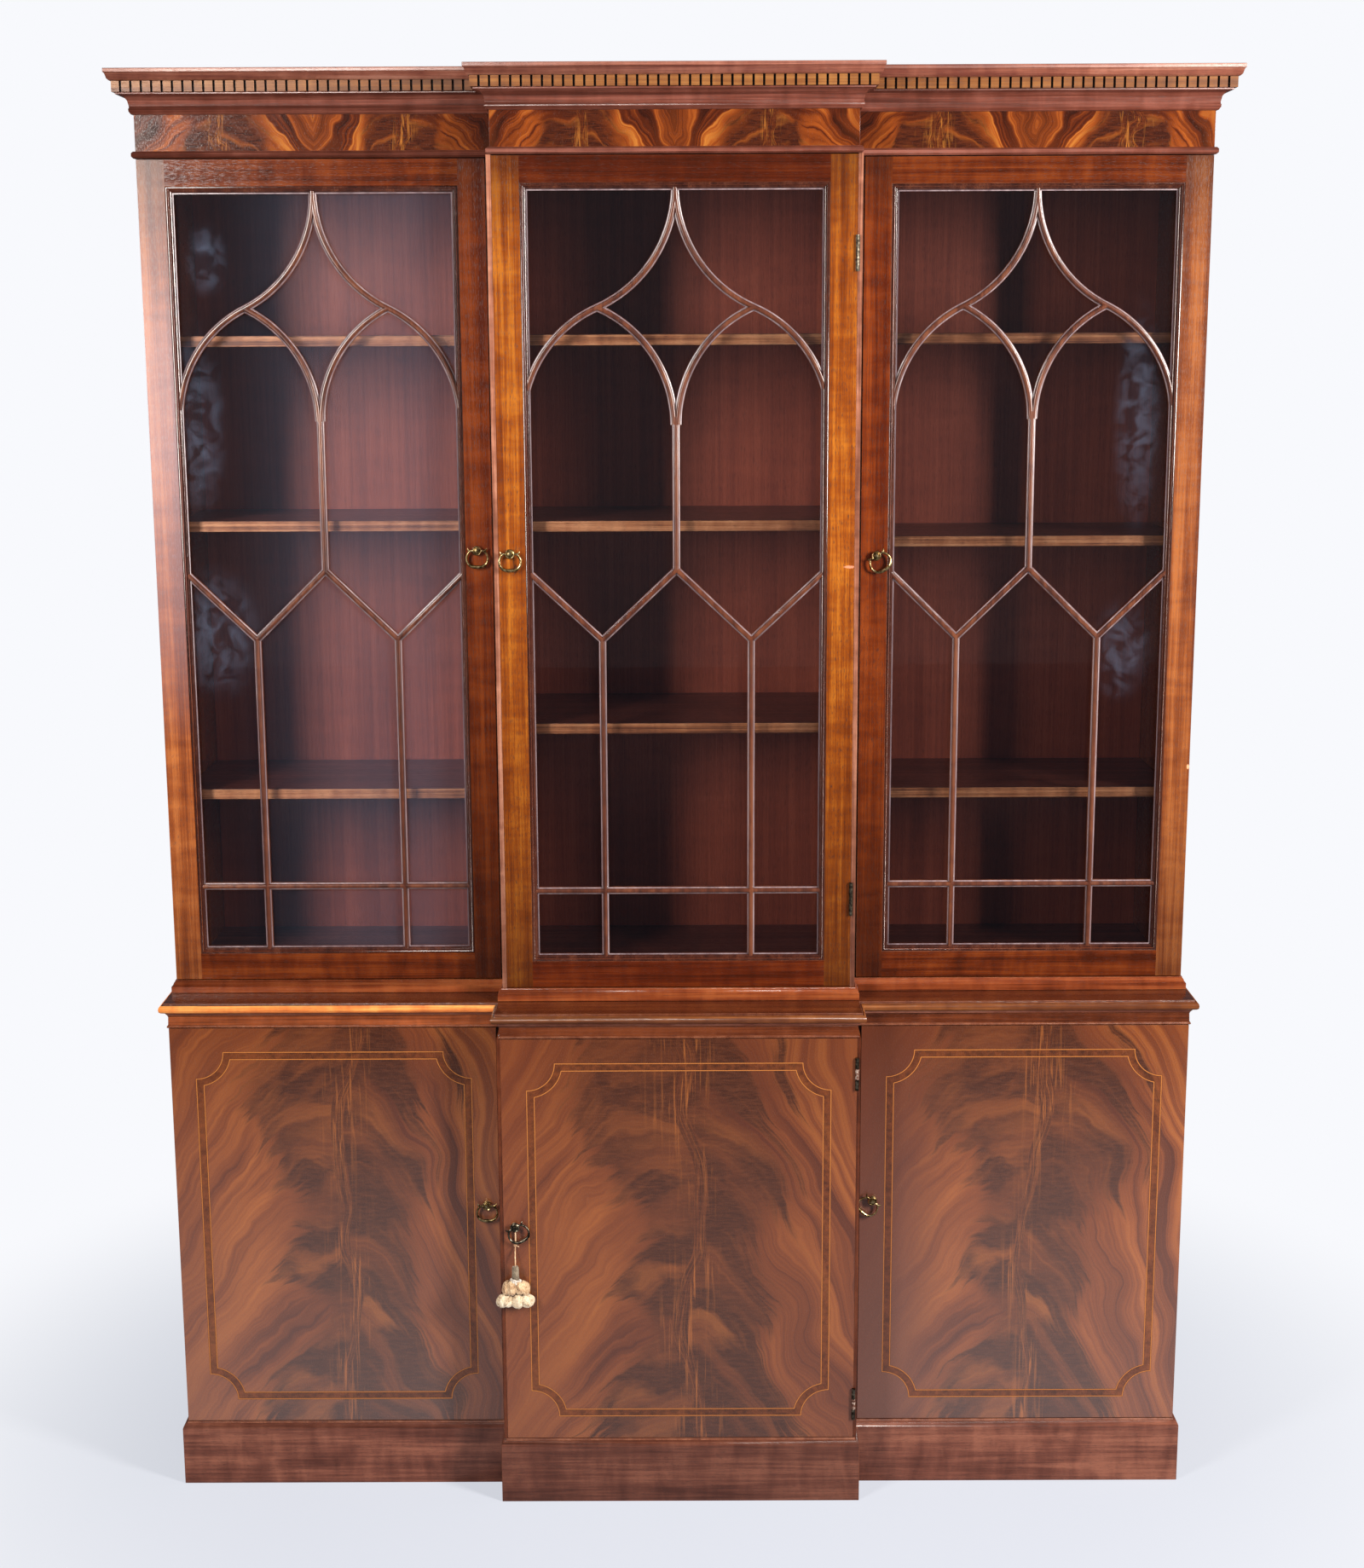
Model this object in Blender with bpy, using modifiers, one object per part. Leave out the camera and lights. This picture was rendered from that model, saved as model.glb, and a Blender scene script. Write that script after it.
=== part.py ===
# Breakfront bookcase: three glazed doors over three cupboard doors, with the middle bay standing forward.
# Metres, +Z up. The origin is on the floor under the middle of the piece, and the front faces -Y.
import math

import bmesh
import bpy
from mathutils import Matrix, Vector

# Carcass
UPPER_HALF_WIDTH = 0.766
LOWER_HALF_WIDTH = 0.7685
UPPER_DEPTH = 0.285            # back of the case to the faces of the upper wing doors
LOWER_DEPTH = 0.341            # back of the case to the faces of the lower wing doors
UPPER_BREAK = 0.050            # how far the upper middle bay stands forward
LOWER_BREAK = 0.060
UPPER_BAY_HALF = 0.2645        # middle of the case to the outer face of an upper bay panel
LOWER_BAY_HALF = 0.2700
BOARD = 0.018                  # sides, bay panels, bottom and top boards
BACK_BOARD = 0.008
GAP = 0.0003                   # between pieces that touch
OVERRUN = 0.004                # how far a cutter runs past what it cuts

# Plinth
PLINTH_HEIGHT = 0.101
PLINTH_REACH = 0.008
PLINTH_BAY_HALF = 0.2665
PLINTH_WALL = 0.020
RAIL_THICKNESS = 0.018
RAIL_HEIGHT = 0.070

# Waist, between the cases
WAIST_HEIGHT = 0.0395
LEDGE_REACH = 0.012
WAIST_BAY_HALF = 0.2655
BASE_HEIGHT = 0.0188           # moulding under the upper doors
BASE_REACH = 0.007
FLOOR_RISE = 0.0107            # inner floor above that moulding

# Cornice
CORNICE_HEIGHT = 0.120
CROWN_REACH = 0.033
CORNICE_WALL = 0.020
FRIEZE_BAY_HALF = 0.259
DENTIL_REACH = 0.024
DENTIL_WIDTH = 0.0114
DENTIL_SPACE = 0.0033
DENTIL_BACKING = 0.0015
DENTIL_DEPTH = 0.0037
DENTIL_HEIGHT = 0.0147

# Doors
DOOR_THICKNESS = 0.022
DOOR_PLAY = 0.0010             # above and below a lower door
UPPER_DOOR_PLAY = 0.0015
UPPER_DOOR_HEIGHT = 1.2077
LOWER_DOOR_HEIGHT = 0.638
UPPER_WING_INNER = 0.2707      # middle of the case to the free edge of a wing door
LOWER_WING_INNER = 0.2757
UPPER_CENTRE_HALF = 0.2575
LOWER_CENTRE_HALF = 0.2647
STILE = 0.039
BOTTOM_RAIL = 0.0395
TOP_RAIL = 0.037
SIGHT = 0.0105                 # width of the moulding round the glass
SIGHT_DEPTH = 0.012            # door face to the front of the glass
GLASS = 0.003
REBATE = 0.005                 # how far the glass lies under the moulding
STOP_WIDTH = 0.020             # strips on the bay panels that stop the wing doors
STOP_THICKNESS = 0.010

# Glazing bars: places of the joints, out from the middle of the door; the arches keep their drop from its
# top, and what is under them keeps its height over its bottom
BAR_WIDTH = 0.011
BAR_SETBACK = 0.0035           # door face to the front of a bar
WING_BARS = {"apex_drop": 0.0432, "tip_drop": 0.2077, "tip_out": 0.1033, "vee_top": 0.6215,
             "vee_low": 0.5195, "vee_out": 0.1045, "cross": 0.1435}
CENTRE_BARS = {"apex_drop": 0.0397, "tip_drop": 0.2087, "tip_out": 0.1115, "vee_top": 0.6260,
               "vee_low": 0.5235, "vee_out": 0.1087, "cross": 0.1470}
ARC_STEPS = 8
FOOT_ANGLE = 12                # degrees that an arch leans where it meets the stile

# Shelves, with the heights of their tops above the floor
SHELF = 0.016
SHELF_SETBACK = 0.035          # door face to the front of a shelf
SHELF_PLAY = 0.001             # at each end of a shelf
UPPER_SHELVES = {"low": {"left": 1.0895, "centre": 1.1970, "right": 1.0880},
                 "middle": {"left": 1.4940, "centre": 1.4965, "right": 1.4680},
                 "high": {"left": 1.7630, "centre": 1.7630, "right": 1.7630}}
LOWER_SHELF_TOP = 0.430
LOWER_SHELF_SETBACK = 0.060
PIN_RADIUS = 0.0025
PIN_LENGTH = 0.008
PIN_INSET = 0.030              # from the front and back edges of the shelf
PIN_SIDES = 6

# Butt hinges
HINGE_LENGTH = 0.050
HINGE_RADIUS = 0.003
HINGE_PIN = 0.0012
HINGE_BORE = 0.0015
HINGE_STAND = 0.0015           # axis of a middle door's hinge, in front of the door
UPPER_HINGE_INSET = 0.110
LOWER_HINGE_INSET = 0.030
HINGE_SIDES = 12
BORE_SIDES = 8

# Locks, keys and drop bails
KEY_SHANK = 0.0022
KEYHOLE = 0.0027
KEY_DEPTH = 0.0145
KEY_REACH = 0.0105
KEY_HEAD = 0.0062
BIT_REACH = 0.0085
BIT_WIDTH = 0.0020
LOCK_RADIUS = 0.0094
LOCK_SIDES = 16
LOCK_NEAR = 0.007              # door face to the near and far walls of the lock chamber
LOCK_FAR = 0.0155
BOLT_LIFT = 0.0088             # key axis to the underside of the bolt
BOLT_HEIGHT = 0.006
BOLT_THICKNESS = 0.005
BOLT_LENGTH = 0.020
BOLT_SETBACK = 0.0005          # door edge to the end of the drawn bolt
WING_POCKET = 0.0065
CENTRE_POCKET = 0.0040
BAIL_STAND = 0.0065            # door face to the plane of the hanging bail
BAIL_REACH = 0.0155
BAIL_DROP = 0.0235
BAIL_WIRE = 0.0013
KEY_STEPS = 12
UPPER_KEYS = {"left": {"out": -0.2925, "up": 1.4525, "turn": 0.0},
              "centre": {"out": -0.2408, "up": 1.4520, "turn": 0.0},
              "right": {"out": 0.2930, "up": 1.4427, "turn": -32.0}}
LOWER_KEYS = {"left": {"out": -0.2939, "up": 0.4575, "turn": 0.0},
              "centre": {"out": -0.2473, "up": 0.4467, "turn": -30.0},
              "right": {"out": 0.2949, "up": 0.4633, "turn": 40.0}}

# Tassel on a loop of cord round the neck of the lower middle key
CORD_RADIUS = 0.0010
LOOP_RADIUS = 0.0044
LOOP_STAND = 0.0024
CORD_STAND = 0.0115            # door face to the cord where it enters the tassel
CORD_CLEAR = 0.0285            # length of cord that hangs straight behind the bail
CORD_DROP = 0.0590
TASSEL_HEIGHT = 0.0690
TASSEL_HALF_WIDTH = 0.029
TASSEL_HALF_DEPTH = 0.0108
TASSEL_STEPS = 12

# Heights of the main levels
lower_door_bottom = PLINTH_HEIGHT + DOOR_PLAY
waist_bottom = lower_door_bottom + LOWER_DOOR_HEIGHT + DOOR_PLAY
waist_top = waist_bottom + WAIST_HEIGHT
base_top = waist_top + GAP + BASE_HEIGHT
upper_door_bottom = base_top + UPPER_DOOR_PLAY
cornice_bottom = upper_door_bottom + UPPER_DOOR_HEIGHT + UPPER_DOOR_PLAY

# Depths of the main planes
back = (LOWER_DEPTH + LOWER_BREAK + LEDGE_REACH) / 2
upper_wing = back - UPPER_DEPTH
upper_centre = upper_wing - UPPER_BREAK
lower_wing = back - LOWER_DEPTH
lower_centre = lower_wing - LOWER_BREAK
board_back = back - BACK_BOARD - GAP      # back edges of the boards, in front of the back panel
door_room = DOOR_THICKNESS + GAP          # door face to what the closed door rests on

# Moulding outlines, as shares of their reach and of their height
plinth_shares = [(1, 0), (1, 0.903), (0.85, 0.936), (0.50, 0.965), (0.13, 0.976), (0.13, 1)]
waist_shares = [(0.08, 0), (0.20, 0.03), (0.20, 0.07), (0.04, 0.086), (0, 0.43), (0.08, 0.50), (0.32, 0.60),
                (0.75, 0.645), (0.95, 0.70), (1, 0.785), (0.95, 0.87), (0.72, 0.925), (0.50, 0.93), (0.50, 1)]
base_shares = [(1, 0), (1, 0.52), (0.80, 0.60), (0.57, 0.74), (0.57, 0.80), (0.30, 0.89), (0.28, 1)]
cornice_shares = [(0.09, 0), (0.16, 0.02), (0.16, 0.058), (0.09, 0.079), (0, 0.079), (0, 0.5), (0.09, 0.5),
                  (0.17, 0.533), (0.18, 0.562), (0.15, 0.571), (0.15, 0.592), (0.20, 0.654), (0.33, 0.70),
                  (0.52, 0.717), (0.61, 0.717), (0.61, 0.7375), (0.555, 0.7375), (0.555, 0.865),
                  (0.79, 0.865), (0.88, 0.885), (0.92, 0.925), (0.955, 0.946), (1, 0.955), (1, 1)]
arch_share = 0.94                          # span of an arch from its tip to its foot, in its tip's distance
dentil_level_share = 0.7400               # bottom of the dentils in the height of the cornice
# Sight moulding: from the door's edge (-1) over the opening's edge (0) to the glass (1), and its depth
sight_shares = [(-1, 0), (0, 0), (0.02, 0.10), (0.20, 0.03), (0.38, 0.10), (0.43, 0.27), (0.62, 0.30),
                (0.78, 0.42), (0.82, 0.60), (1, 0.60), (1, 1)]
# Glazing bar: shares of the half width and of the depth, from the door side to the front
bar_shares = [(-1, 1), (-1, 0.50), (-0.62, 0.34), (-0.34, 0), (0.34, 0), (0.62, 0.34), (1, 0.50), (1, 1)]
# Key outside the door: shares of the head's radius and of its reach, from the front to the collar
key_shares = [(0, 1), (0.50, 1), (0.62, 0.90), (0.95, 0.84), (1, 0.78), (1, 0.42), (0.85, 0.34), (0.48, 0.34),
              (0.48, 0.12), (0.85, 0.10), (0.85, 0.03)]
bail_shares = [(0.42, 0), (0.56, -0.02), (0.80, -0.13), (0.96, -0.32), (1, -0.52), (0.92, -0.74),
               (0.70, -0.91), (0.36, -0.99), (0, -1)]
tassel_shares = [(0, 1), (0.13, 1), (0.17, 0.80), (0.25, 0.72), (0.55, 0.70), (0.74, 0.56), (0.70, 0.42),
                 (0.62, 0.36), (0.85, 0.32), (1, 0.20), (0.92, 0.07), (0.60, 0), (0, 0)]


def clear_scene():
    for leftover in list(bpy.data.objects):
        bpy.data.objects.remove(leftover)


def new_collection(name):
    collection = bpy.data.collections.new(name)
    bpy.context.scene.collection.children.link(collection)
    return collection


clear_scene()
bookcase = new_collection("breakfront_bookcase")
cutters = new_collection("cutters")


# Finishes: colour, roughness and metallic value
WOODS = {"mahogany": (0.27, 0.085, 0.028), "dark_mahogany": (0.16, 0.045, 0.018),
         "inside_mahogany": (0.18, 0.075, 0.042), "flame_mahogany": (0.24, 0.075, 0.030),
         "shelf_edge": (0.42, 0.19, 0.085)}


def finish(piece, colour, roughness, metallic=0.0, alpha=1.0):
    material = bpy.data.materials.new(piece.name + "_finish")
    material.use_nodes = True
    shader = material.node_tree.nodes["Principled BSDF"]
    shader.inputs["Base Color"].default_value = (*colour, 1.0)
    shader.inputs["Roughness"].default_value = roughness
    shader.inputs["Metallic"].default_value = metallic
    shader.inputs["Alpha"].default_value = alpha
    piece.data.materials.clear()
    piece.data.materials.append(material)
    return piece


def wood(piece, kind, roughness=0.32):
    return finish(piece, WOODS[kind], roughness)


def brass(piece):
    return finish(piece, (0.42, 0.33, 0.17), 0.35, metallic=1.0)


# Modelling helpers
def add_object(name, bm, origin=(0, 0, 0)):
    # The mesh is drawn where it belongs, and its origin is then moved to the given point.
    bmesh.ops.translate(bm, verts=bm.verts, vec=-Vector(origin))
    mesh = bpy.data.meshes.new(name)
    bm.to_mesh(mesh)
    bm.free()
    piece = bpy.data.objects.new(name, mesh)
    piece.location = origin
    bookcase.objects.link(piece)
    return piece


def loft(name, sections, ring=False, origin=(0, 0, 0)):
    # Joins like sections in turn. A ring closes on its first section, any other loft is capped.
    bm = bmesh.new()
    rows = [[bm.verts.new(point) for point in section] for section in sections]
    if ring:
        rows.append(rows[0])
    for near, far in zip(rows, rows[1:]):
        for here in range(len(near)):
            after = (here + 1) % len(near)
            bm.faces.new((near[here], near[after], far[after], far[here]))
    if not ring:
        bm.faces.new(rows[0])
        bm.faces.new(rows[-1])
    bmesh.ops.recalc_face_normals(bm, faces=bm.faces)
    return add_object(name, bm, origin)


def add_block(bm, low, high):
    size = Vector(high) - Vector(low)
    middle = (Vector(high) + Vector(low)) / 2
    bmesh.ops.create_cube(bm, size=1.0, matrix=Matrix.LocRotScale(middle, None, size))


def block(name, low, high, origin=(0, 0, 0)):
    bm = bmesh.new()
    add_block(bm, low, high)
    return add_object(name, bm, origin)


def between(one, other, low, high):
    # Corners of a block whose ends along X may come in either order
    return (min(one, other), *low), (max(one, other), *high)


def add_rod(bm, start, end, radius, sides):
    run = Vector(end) - Vector(start)
    turn = run.to_track_quat("Z", "Y").to_matrix().to_4x4()
    place = Matrix.Translation((Vector(start) + Vector(end)) / 2) @ turn
    bmesh.ops.create_cone(bm, cap_ends=True, segments=sides, radius1=radius, radius2=radius,
                          depth=run.length, matrix=place)


def rods(name, runs, radius, sides):
    # Separate rods in one mesh, as a tool for one cut or join
    bm = bmesh.new()
    for start, end in runs:
        add_rod(bm, start, end, radius, sides)
    return add_object(name, bm)


def set_aside(tool):
    bookcase.objects.unlink(tool)
    cutters.objects.link(tool)
    tool.hide_render = True
    tool.display_type = "WIRE"


def combine(piece, tool, operation):
    change = piece.modifiers.new(tool.name, "BOOLEAN")
    change.operation = operation
    change.solver = "EXACT"
    change.object = tool
    if tool.name in bookcase.objects:
        set_aside(tool)


def cut(piece, tool):
    combine(piece, tool, "DIFFERENCE")


def join(piece, tool):
    combine(piece, tool, "UNION")


def as_mesh(drawn):
    # Makes a mesh object of a curve or of a profile with its modifier
    bpy.context.view_layer.update()
    graph = bpy.context.evaluated_depsgraph_get()
    mesh = bpy.data.meshes.new_from_object(drawn.evaluated_get(graph))
    bm = bmesh.new()
    bm.from_mesh(mesh)
    bmesh.ops.remove_doubles(bm, verts=bm.verts, dist=0.00001)
    bmesh.ops.recalc_face_normals(bm, faces=bm.faces)
    bm.to_mesh(mesh)
    bm.free()
    piece = bpy.data.objects.new(drawn.name, mesh)
    piece.matrix_world = drawn.matrix_world.copy()
    bookcase.objects.link(piece)
    name = drawn.name
    bpy.data.objects.remove(drawn)
    piece.name = name
    return piece


def tube(name, points, radius, swell=None):
    # Round bar along the points; swell gives each point's radius as a share of the first
    curve = bpy.data.curves.new(name, "CURVE")
    curve.dimensions = "3D"
    curve.bevel_depth = radius
    curve.bevel_resolution = 1
    curve.use_fill_caps = True
    spline = curve.splines.new("POLY")
    spline.points.add(len(points) - 1)
    for place, (point, here) in enumerate(zip(points, spline.points)):
        here.co = (*point, 1.0)
        here.radius = swell[place] if swell else 1.0
    drawn = bpy.data.objects.new(name, curve)
    bookcase.objects.link(drawn)
    return as_mesh(drawn)


def turned(name, outline, steps):
    # Turns an outline of (radius, height) points about Z
    mesh = bpy.data.meshes.new(name)
    corners = [(radius, 0, height) for radius, height in outline]
    mesh.from_pydata(corners, [(here, here + 1) for here in range(len(corners) - 1)], [])
    drawn = bpy.data.objects.new(name, mesh)
    bookcase.objects.link(drawn)
    screw = drawn.modifiers.new("turn", "SCREW")
    screw.steps = steps
    screw.render_steps = steps
    screw.use_merge_vertices = True
    screw.merge_threshold = 0.00001
    return as_mesh(drawn)


# Plan of a breakfront: a U-shaped line of eight points that steps forward round the middle bay
def breakfront(half_width, bay_half, wing, centre):
    def outline(reach):
        side = half_width + reach
        bay = bay_half + reach
        near = wing - reach
        front = centre - reach
        left = [(-side, back), (-side, near), (-bay, near), (-bay, front)]
        return left + [(-x, y) for x, y in reversed(left)]
    return outline


def moulded_slab(name, plan, profile):
    # A board with a moulded edge: the plan drawn again at each level of the profile
    return loft(name, [[(x, y, level) for x, y in plan(reach)] for reach, level in profile])


def moulded_frame(name, plan, profile):
    # A moulding with mitred corners along the plan, open at the back
    stations = range(len(plan(0)))
    return loft(name, [[(*plan(reach)[place], level) for reach, level in profile] for place in stations])


def scaled(shares, reach, height, level):
    return [(out * reach, level + up * height) for out, up in shares]


def plinth():
    plan = breakfront(LOWER_HALF_WIDTH, PLINTH_BAY_HALF, lower_wing, lower_centre)
    outer = scaled(plinth_shares, PLINTH_REACH, PLINTH_HEIGHT, 0)
    piece = moulded_frame("plinth", plan, outer + [(-PLINTH_WALL, PLINTH_HEIGHT), (-PLINTH_WALL, 0)])
    inner = LOWER_HALF_WIDTH - PLINTH_WALL + OVERRUN
    join(piece, block("plinth_rail", (-inner, back - RAIL_THICKNESS - OVERRUN, 0),
                      (inner, back - OVERRUN, RAIL_HEIGHT)))
    wood(piece, "dark_mahogany")


def waist_board():
    plan = breakfront(LOWER_HALF_WIDTH, WAIST_BAY_HALF, lower_wing, lower_centre)
    wood(moulded_slab("waist_board", plan, scaled(waist_shares, LEDGE_REACH, WAIST_HEIGHT, waist_bottom)),
         "dark_mahogany", 0.18)


def floor_plan(case):
    # Boards that lie between the sides and behind the closed doors
    inner = case["half"] - BOARD - GAP
    wing = case["wing"] + door_room
    centre = case["centre"] + door_room

    def outline(reach):
        left = [(-inner, board_back), (-inner, wing), (-case["bay"], wing), (-case["bay"], centre)]
        return left + [(-x, y) for x, y in reversed(left)]
    return outline


def case_boards():
    # Bottom board of the lower case, bottom board and top board of the upper case
    lower = floor_plan(LOWER)
    upper = floor_plan(UPPER)
    low = PLINTH_HEIGHT + GAP
    wood(moulded_slab("lower_bottom_board", lower, [(0, low), (0, low + BOARD)]), "inside_mahogany", 0.5)
    plan = breakfront(UPPER_HALF_WIDTH, UPPER_BAY_HALF, upper_wing, upper_centre)
    base = moulded_slab("upper_bottom_board", plan,
                        scaled(base_shares, BASE_REACH, BASE_HEIGHT, waist_top + GAP))
    join(base, moulded_slab("upper_floor", upper, [(0, base_top - OVERRUN), (0, base_top + FLOOR_RISE)]))
    wood(base, "dark_mahogany")
    top = cornice_bottom - GAP
    wood(moulded_slab("upper_top_board", upper, [(0, top - BOARD), (0, top)]), "inside_mahogany", 0.5)


def cornice():
    plan = breakfront(UPPER_HALF_WIDTH, FRIEZE_BAY_HALF, upper_wing, upper_centre)
    top = cornice_bottom + CORNICE_HEIGHT
    outer = scaled(cornice_shares, CROWN_REACH, CORNICE_HEIGHT, cornice_bottom)
    piece = moulded_frame("cornice", plan, outer + [(-CORNICE_WALL, top), (-CORNICE_WALL, cornice_bottom)])
    inner = UPPER_HALF_WIDTH - CORNICE_WALL + OVERRUN
    join(piece, block("cornice_rail", (-inner, back - RAIL_THICKNESS - OVERRUN, cornice_bottom),
                      (inner, back - OVERRUN, cornice_bottom + RAIL_HEIGHT)))
    wood(piece, "flame_mahogany")


def dentil_edge(start, end, root, tip):
    # Plan points of the dentils along one straight run, with a tooth at each end of it
    run = end - start
    along = run.normalized()
    pitch = DENTIL_WIDTH + DENTIL_SPACE
    count = max(1, round((run.length + DENTIL_SPACE) / pitch))
    pitch = (run.length + DENTIL_SPACE) / count
    out = Vector((along.y, -along.x))
    points = []
    for tooth in range(count):
        near = start + along * pitch * tooth
        far = start + along * (pitch * tooth + pitch - DENTIL_SPACE)
        low = out * (root - tip)
        if tooth > 0:
            points += [near + low, near]
        if tooth < count - 1:
            points += [far, far + low]
    return points


def dentil_course():
    # A comb in plan, cut from one strip: teeth outside, a thin backing behind them
    plan = breakfront(UPPER_HALF_WIDTH, FRIEZE_BAY_HALF, upper_wing, upper_centre)
    root = DENTIL_REACH - DENTIL_DEPTH
    face = [Vector(point) for point in plan(DENTIL_REACH)]
    outline = []
    for start, end in zip(face, face[1:]):
        outline += [start] + dentil_edge(start, end, root, DENTIL_REACH)
    outline += [face[-1]]
    outline += [Vector(point) for point in reversed(plan(root - DENTIL_BACKING))]
    low = cornice_bottom + dentil_level_share * CORNICE_HEIGHT
    piece = loft("dentil_course", [[(*point, level) for point in outline]
                                   for level in (low, low + DENTIL_HEIGHT)])
    finish(piece, (0.45, 0.20, 0.07), 0.4)


# The two cases, with the levels and planes that their pieces share
UPPER = {"name": "upper", "half": UPPER_HALF_WIDTH, "bay": UPPER_BAY_HALF, "wing": upper_wing,
         "centre": upper_centre, "centre_half": UPPER_CENTRE_HALF, "wing_inner": UPPER_WING_INNER,
         "low": base_top + GAP, "floor": base_top + FLOOR_RISE, "high": cornice_bottom - GAP,
         "roof": cornice_bottom - GAP - BOARD, "door_low": upper_door_bottom,
         "door_high": upper_door_bottom + UPPER_DOOR_HEIGHT, "hinge_inset": UPPER_HINGE_INSET,
         "keys": UPPER_KEYS, "shelf_setback": SHELF_SETBACK, "shelves": UPPER_SHELVES}
LOWER = {"name": "lower", "half": LOWER_HALF_WIDTH, "bay": LOWER_BAY_HALF, "wing": lower_wing,
         "centre": lower_centre, "centre_half": LOWER_CENTRE_HALF, "wing_inner": LOWER_WING_INNER,
         "low": PLINTH_HEIGHT + GAP, "floor": PLINTH_HEIGHT + GAP + BOARD, "high": waist_bottom - GAP,
         "roof": waist_bottom, "door_low": lower_door_bottom,
         "door_high": lower_door_bottom + LOWER_DOOR_HEIGHT, "hinge_inset": LOWER_HINGE_INSET,
         "keys": LOWER_KEYS, "shelf_setback": LOWER_SHELF_SETBACK,
         "shelves": {"": {bay: LOWER_SHELF_TOP for bay in ("left", "centre", "right")}}}
SIDES = {"left": -1, "right": 1}


def hinge_axis(case, bay):
    # Where a door turns: wing doors at the case's outer corner, the middle door at its right edge
    if bay == "centre":
        return case["centre_half"] + GAP / 2, case["centre"] - HINGE_STAND
    return SIDES[bay] * case["half"], case["wing"] + DOOR_THICKNESS + GAP / 2


def hinge_levels(case):
    # Bottoms of the two hinges of a door
    low = case["door_low"] + case["hinge_inset"]
    high = case["door_high"] - case["hinge_inset"] - HINGE_LENGTH
    return low, high


def knuckles(case, bay, places, spare):
    # Runs along the hinge axis: places 0 and 2 belong to the case, 1 to the door
    x, y = hinge_axis(case, bay)
    length = (HINGE_LENGTH - 2 * GAP) / 3
    runs = []
    for level in hinge_levels(case):
        for place in places:
            start = level + place * (length + GAP)
            runs.append(((x, y, start - spare), (x, y, start + length + spare)))
    return runs


def hang_case_side(piece, case, bay):
    # Case half of the hinges: room for the door's knuckle, two knuckles and the pin through all three
    tag = case["name"] + "_" + bay
    cut(piece, rods(tag + "_room", knuckles(case, bay, [1], GAP), HINGE_RADIUS + GAP, HINGE_SIDES))
    join(piece, rods(tag + "_knuckles", knuckles(case, bay, [0, 2], 0), HINGE_RADIUS, HINGE_SIDES))
    join(piece, rods(tag + "_pins", knuckles(case, bay, [1], OVERRUN), HINGE_PIN, BORE_SIDES))


def hang_door_side(piece, case, bay):
    tag = case["name"] + "_door_" + bay
    cut(piece, rods(tag + "_room", knuckles(case, bay, [0, 2], GAP), HINGE_RADIUS + GAP, HINGE_SIDES))
    join(piece, rods(tag + "_knuckle", knuckles(case, bay, [1], 0), HINGE_RADIUS, HINGE_SIDES))
    cut(piece, rods(tag + "_bore", knuckles(case, bay, [1], OVERRUN), HINGE_BORE, BORE_SIDES))


def shelf_span(case, bay):
    # Ends, front and back of the shelves of one bay
    if bay == "centre":
        inner = case["bay"] - BOARD - SHELF_PLAY
        return -inner, inner, case["centre"] + case["shelf_setback"], board_back - SHELF_PLAY
    ends = [SIDES[bay] * (case["bay"] + SHELF_PLAY), SIDES[bay] * (case["half"] - BOARD - SHELF_PLAY)]
    return min(ends), max(ends), case["wing"] + case["shelf_setback"], board_back - SHELF_PLAY


def shelf_pins(case, bay, face, toward):
    # Pins in one face of a panel under the shelves of a bay; toward is +1 or -1 along X
    runs = []
    _, _, front, rear = shelf_span(case, bay)
    for tops in case["shelves"].values():
        level = tops[bay] - SHELF - GAP - PIN_RADIUS
        for depth in (front + PIN_INSET, rear - PIN_INSET):
            runs.append(((face - toward * OVERRUN, depth, level), (face + toward * PIN_LENGTH, depth, level)))
    return runs


def case_side(case, bay):
    sign = SIDES[bay]
    outer = sign * case["half"]
    inner = sign * (case["half"] - BOARD)
    name = case["name"] + "_side_" + bay
    piece = block(name, *between(inner, outer, (case["wing"] + door_room, case["low"]), (back, case["high"])))
    join(piece, rods(name + "_shelf_pins", shelf_pins(case, bay, inner, -sign), PIN_RADIUS, PIN_SIDES))
    hang_case_side(piece, case, bay)
    wood(piece, "mahogany")


def lock_pocket(case, bay, face, toward, depth):
    # Strike in a bay panel that the bolt of a door shoots into
    plane = case["centre"] if bay == "centre" else case["wing"]
    near = plane + (LOCK_NEAR + LOCK_FAR - BOLT_THICKNESS) / 2 - GAP
    level = case["keys"][bay]["up"] + BOLT_LIFT - GAP
    low = (near, level)
    high = (near + BOLT_THICKNESS + 2 * GAP, level + BOLT_HEIGHT + 2 * GAP)
    name = case["name"] + "_strike_" + bay
    return block(name, *between(face - toward * OVERRUN, face + toward * depth, low, high))


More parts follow.
